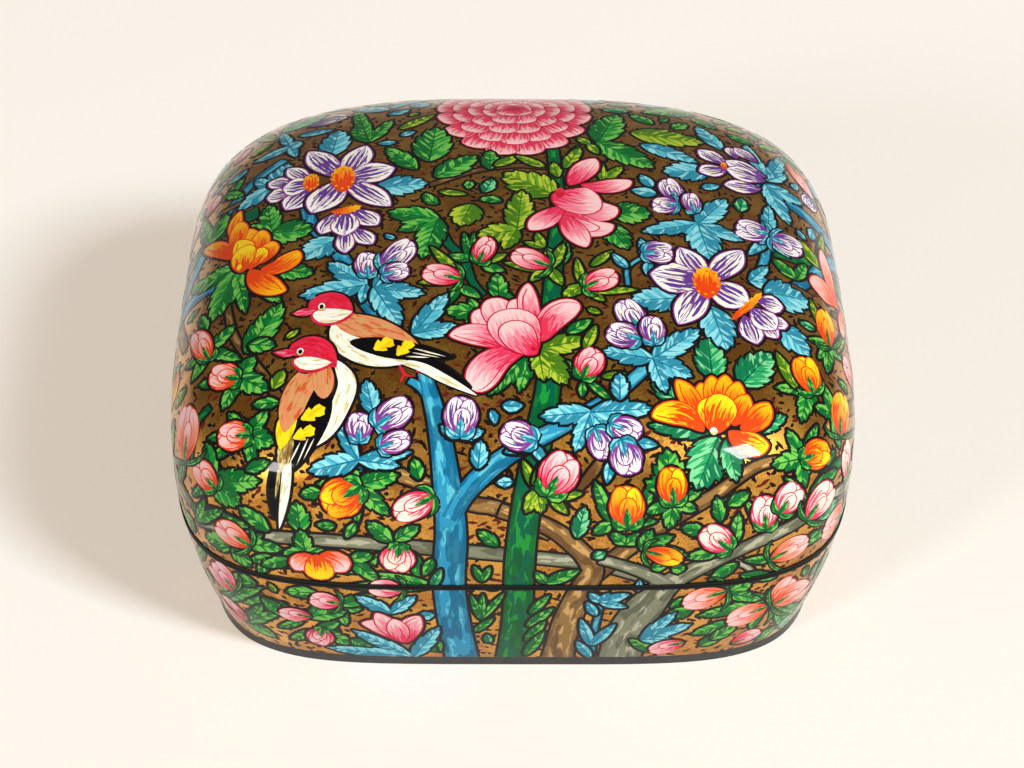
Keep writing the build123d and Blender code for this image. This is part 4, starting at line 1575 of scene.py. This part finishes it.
@dataclass(frozen=True)
class Ground:
    """The bronze grounds of the lid and the tray: the papier mache shells under the painting."""

    form: Form
    round_count: int = 160
    wall: float = 3.4
    collar_outer: float = 47.17
    collar_low: float = 9.7
    tray_floor: float = 4.9
    inset: float = GROUND_INSET

    def loop(self, half: float, exponent: float, z: float) -> Points:
        """A plan at a height."""
        t = np.linspace(0, 2 * math.pi, self.round_count, endpoint=False)
        c, s = np.cos(t), np.sin(t)
        r = half / (np.abs(c) ** exponent + np.abs(s) ** exponent) ** (1 / exponent)
        return np.column_stack([r * c, r * s, np.full(len(t), z)])

    def sides(self, heights: Iterable[float], inset: float) -> list[Points]:
        """Plans of the form at heights, set in."""
        made = []
        for z in heights:
            plan = float(self.form.plan(np.array([z]))[0])
            if z <= self.form.belly:
                half = float(self.form.side(np.array([z]))[0])
            else:
                share = (z - self.form.belly) / self.form.rise
                half = self.form.half_width * (1 - share**self.form.dome) ** (1 / self.form.dome)
            points = self.loop(half, plan, z)
            made.append(points - self.form.normal(points) * inset)
        return made

    def shell(self, name: str, loops: list[Points], material: bpy.types.Material) -> bpy.types.Object:
        """A closed shell through loops, each end closed at its middle."""
        n = self.round_count
        ends = [loops[0].mean(0, keepdims=True), loops[-1].mean(0, keepdims=True)]
        points = np.vstack([*loops, *ends])
        faces = []
        for row in range(len(loops) - 1):
            for k in range(n):
                a, b = row * n + k, row * n + (k + 1) % n
                faces.append((a, b, b + n, a + n))
        last = (len(loops) - 1) * n
        faces += [((k + 1) % n, k, len(points) - 2) for k in range(n)]
        faces += [(last + k, last + (k + 1) % n, len(points) - 1) for k in range(n)]
        return mesh_piece(name, points, faces, material)

    def crown_heights(self, inset: float) -> list[float]:
        """Heights from the belly up to the crown, closer together on the shoulder."""
        turns = np.concatenate([np.linspace(4, 76, 34), np.linspace(78, 89.4, 16)])
        return [self.form.belly + self.form.rise * math.sin(math.radians(t)) ** (2 / self.form.dome) for t in turns]

    def lid(self, material: bpy.types.Material) -> bpy.types.Object:
        """The lid's ground, standing for its shell."""
        low = self.form.lid_low
        outer = self.sides(np.linspace(low, self.form.belly, 12), self.inset) + self.sides(self.crown_heights(0), self.inset)
        outer[0][:, 2] = low
        inner = self.sides(np.linspace(low, self.form.belly, 6), self.wall) + self.sides(self.crown_heights(0)[::3], self.wall)
        inner[0][:, 2] = low
        piece = self.shell("lid_ground", [*inner[::-1], *outer], material)
        return self.dress(piece, Part.LID, "lid_shell")

    def tray(self, material: bpy.types.Material) -> bpy.types.Object:
        """The tray's ground, standing for its shell."""
        low, high = self.form.foot_top, self.form.tray_high
        outer = self.sides(np.linspace(low, high, 24), self.inset)
        outer[0][:, 2], outer[-1][:, 2] = low, high
        plan = float(self.form.plan(np.array([high]))[0])
        rim = [self.loop(self.collar_outer + 0.02, plan, high), self.loop(self.collar_outer + 0.02, plan, self.collar_low)]
        cavity = self.sides(np.linspace(self.collar_low, self.tray_floor, 5), self.wall)
        for ring, z in zip(cavity, np.linspace(self.collar_low, self.tray_floor, 5)):
            ring[:, 2] = z
        piece = self.shell("tray_ground", [*outer, *rim, *cavity], material)
        return self.dress(piece, Part.TRAY, "base_shell")

    def dress(self, piece: bpy.types.Object, part: Part, node: str) -> bpy.types.Object:
        """Puts a ground in place of its plain shell."""
        edit = bmesh.new()
        edit.from_mesh(piece.data)
        bmesh.ops.recalc_face_normals(edit, faces=edit.faces)
        edit.to_mesh(piece.data)
        edit.free()
        skin_map(piece, self.form)
        piece.data.shade_smooth()
        piece.data.set_sharp_from_angle(angle=math.radians(35))
        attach(piece, part.value)
        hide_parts(node)
        log.info("%s: %d faces", piece.name, len(piece.data.polygons))
        return piece


# ---------------------------------------------------------------- the studio


@dataclass(frozen=True)
class Lamp:
    """A soft square lamp aimed at the box. Lengths in metres."""

    name: str
    place: tuple[float, float, float]
    size: float
    power: float
    colour: tuple[float, float, float] = (1.0, 1.0, 1.0)

    def light(self) -> bpy.types.Object:
        """The lamp, in the scene."""
        data = bpy.data.lights.new(self.name, "AREA")
        data.shape, data.size, data.energy, data.color = "SQUARE", self.size, self.power, self.colour
        lamp = bpy.data.objects.new(self.name, data)
        place = Vector(self.place)
        turn = (Vector((0, 0, 0.027)) - place).to_track_quat("-Z", "Y")
        lamp.matrix_world = Matrix.Translation(place) @ turn.to_matrix().to_4x4()
        bpy.context.scene.collection.objects.link(lamp)
        return lamp


@dataclass(frozen=True)
class Studio:
    """A pale floor under two lamps and a dim sky."""

    form: Form
    view: Viewpoint
    floor_half: float = 6.0
    floor_colour: tuple[float, float, float] = (0.50, 0.53, 0.54)
    floor_glow: tuple[float, float, float] = (0.51, 0.42, 0.33)  # seen, but not shed on the box
    sky: float = 0.14
    lamp_distance: float = 3.0

    def glint(self, name: str, place: Place, size: float, power: float) -> Lamp:
        """A lamp whose reflection falls at a place on the sheet."""
        ray = self.view.rays(np.array([place], float))
        point = self.form.drop(self.view.axes()[0], ray)
        normal = self.form.normal(point)[0]
        way = ray[0] - 2 * normal * (ray[0] @ normal)
        log.info("%s towards %s", name, np.round(way, 2))
        return Lamp(name, tuple(point[0] * MM + way * self.lamp_distance), size, power)

    def floor(self) -> bpy.types.Object:
        """The floor, with a paper grain."""
        t = Tree("floor")
        grain = t.noise(t.node("ShaderNodeTexCoord", {}, {}, "Object"), 900.0, 3.0)
        paper = t.blend(grain.rise(0.2, 0.8), tuple(c * 0.985 for c in self.floor_colour), self.floor_colour)
        path = t.node("ShaderNodeLightPath", {}, {}, "Is Camera Ray").socket.node
        seen = Wire(t, path.outputs["Is Camera Ray"]).most(Wire(t, path.outputs["Is Glossy Ray"]))
        seen = seen.most(Wire(t, path.outputs["Is Transmission Ray"]))
        glow = t.blend(seen, (0.0, 0.0, 0.0), self.floor_glow)
        half = self.floor_half / MM
        floor = mesh_piece("floor", [(-half, -half, 0), (half, -half, 0), (half, half, 0), (-half, half, 0)], [(0, 1, 2, 3)],
                           t.surface({"Base Color": paper, "Roughness": 0.9, "Specular IOR Level": 0.0,
                                      "Emission Color": glow, "Emission Strength": 1.0}))
        return floor

    def build(self) -> None:
        """Lays the floor and hangs the lamps."""
        self.floor()
        world = bpy.data.worlds.new("studio")
        world.use_nodes = True
        world.node_tree.nodes["Background"].inputs[0].default_value = (1.0, 0.985, 0.96, 1.0)
        world.node_tree.nodes["Background"].inputs[1].default_value = self.sky
        bpy.context.scene.world = world
        bpy.context.scene.view_settings.view_transform = "Standard"
        for lamp in (self.glint("left_lamp", (278, 468), 0.5, 38.0), self.glint("right_lamp", (745, 452), 0.62, 102.0)):
            lamp.light()


def dress_nodes(frame: dict) -> None:
    """Gives each plain part that stays its finish."""
    black = PlainFinish("black_lacquer", (0.006, 0.006, 0.007), (0.01, 0.01, 0.01), 0.5, 0.5, 0.01, 0.1, 0.1).material()
    paper = PlainFinish("lining_paper", (0.012, 0.011, 0.011), (0.03, 0.027, 0.025), 0.7, 0.55, 0.03, 0.2).material()
    card = PlainFinish("collar_card", (0.03, 0.02, 0.014), (0.07, 0.045, 0.03), 0.6, 0.6, 0.03).material()
    foot = PlainFinish("foot_card", (0.010, 0.010, 0.011), (0.024, 0.023, 0.024), 0.5, 0.42, 0.02, 0.5).material()
    finishes = {"lid_edge_binding": black, "base_edge_binding": black, "lid_lining": paper, "base_lining": paper,
                "locating_collar": card, "foot_board": foot}
    for name, finish in finishes.items():
        node = frame["nodes"][name]
        node.data.materials.clear()
        node.data.materials.append(finish)
        log.info("%s dressed", name)


def main() -> None:
    """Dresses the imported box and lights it."""
    logging.basicConfig(level=logging.INFO, format="%(message)s")
    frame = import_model()
    form, view = Form(), Viewpoint()
    ground = BronzeGround().material()
    Ground(form).lid(ground)
    Ground(form).tray(ground)
    dress_nodes(frame)
    coats = Coats(form, Painting(form, view).paint())
    for brush in Brush:
        paint = FilmPaint(f"{brush.value}_paint", brush).material()
        for part in Part:
            coats.build(part, brush, paint)
    Studio(form, view).build()
    view.camera()


if __name__ == "__main__":
    main()
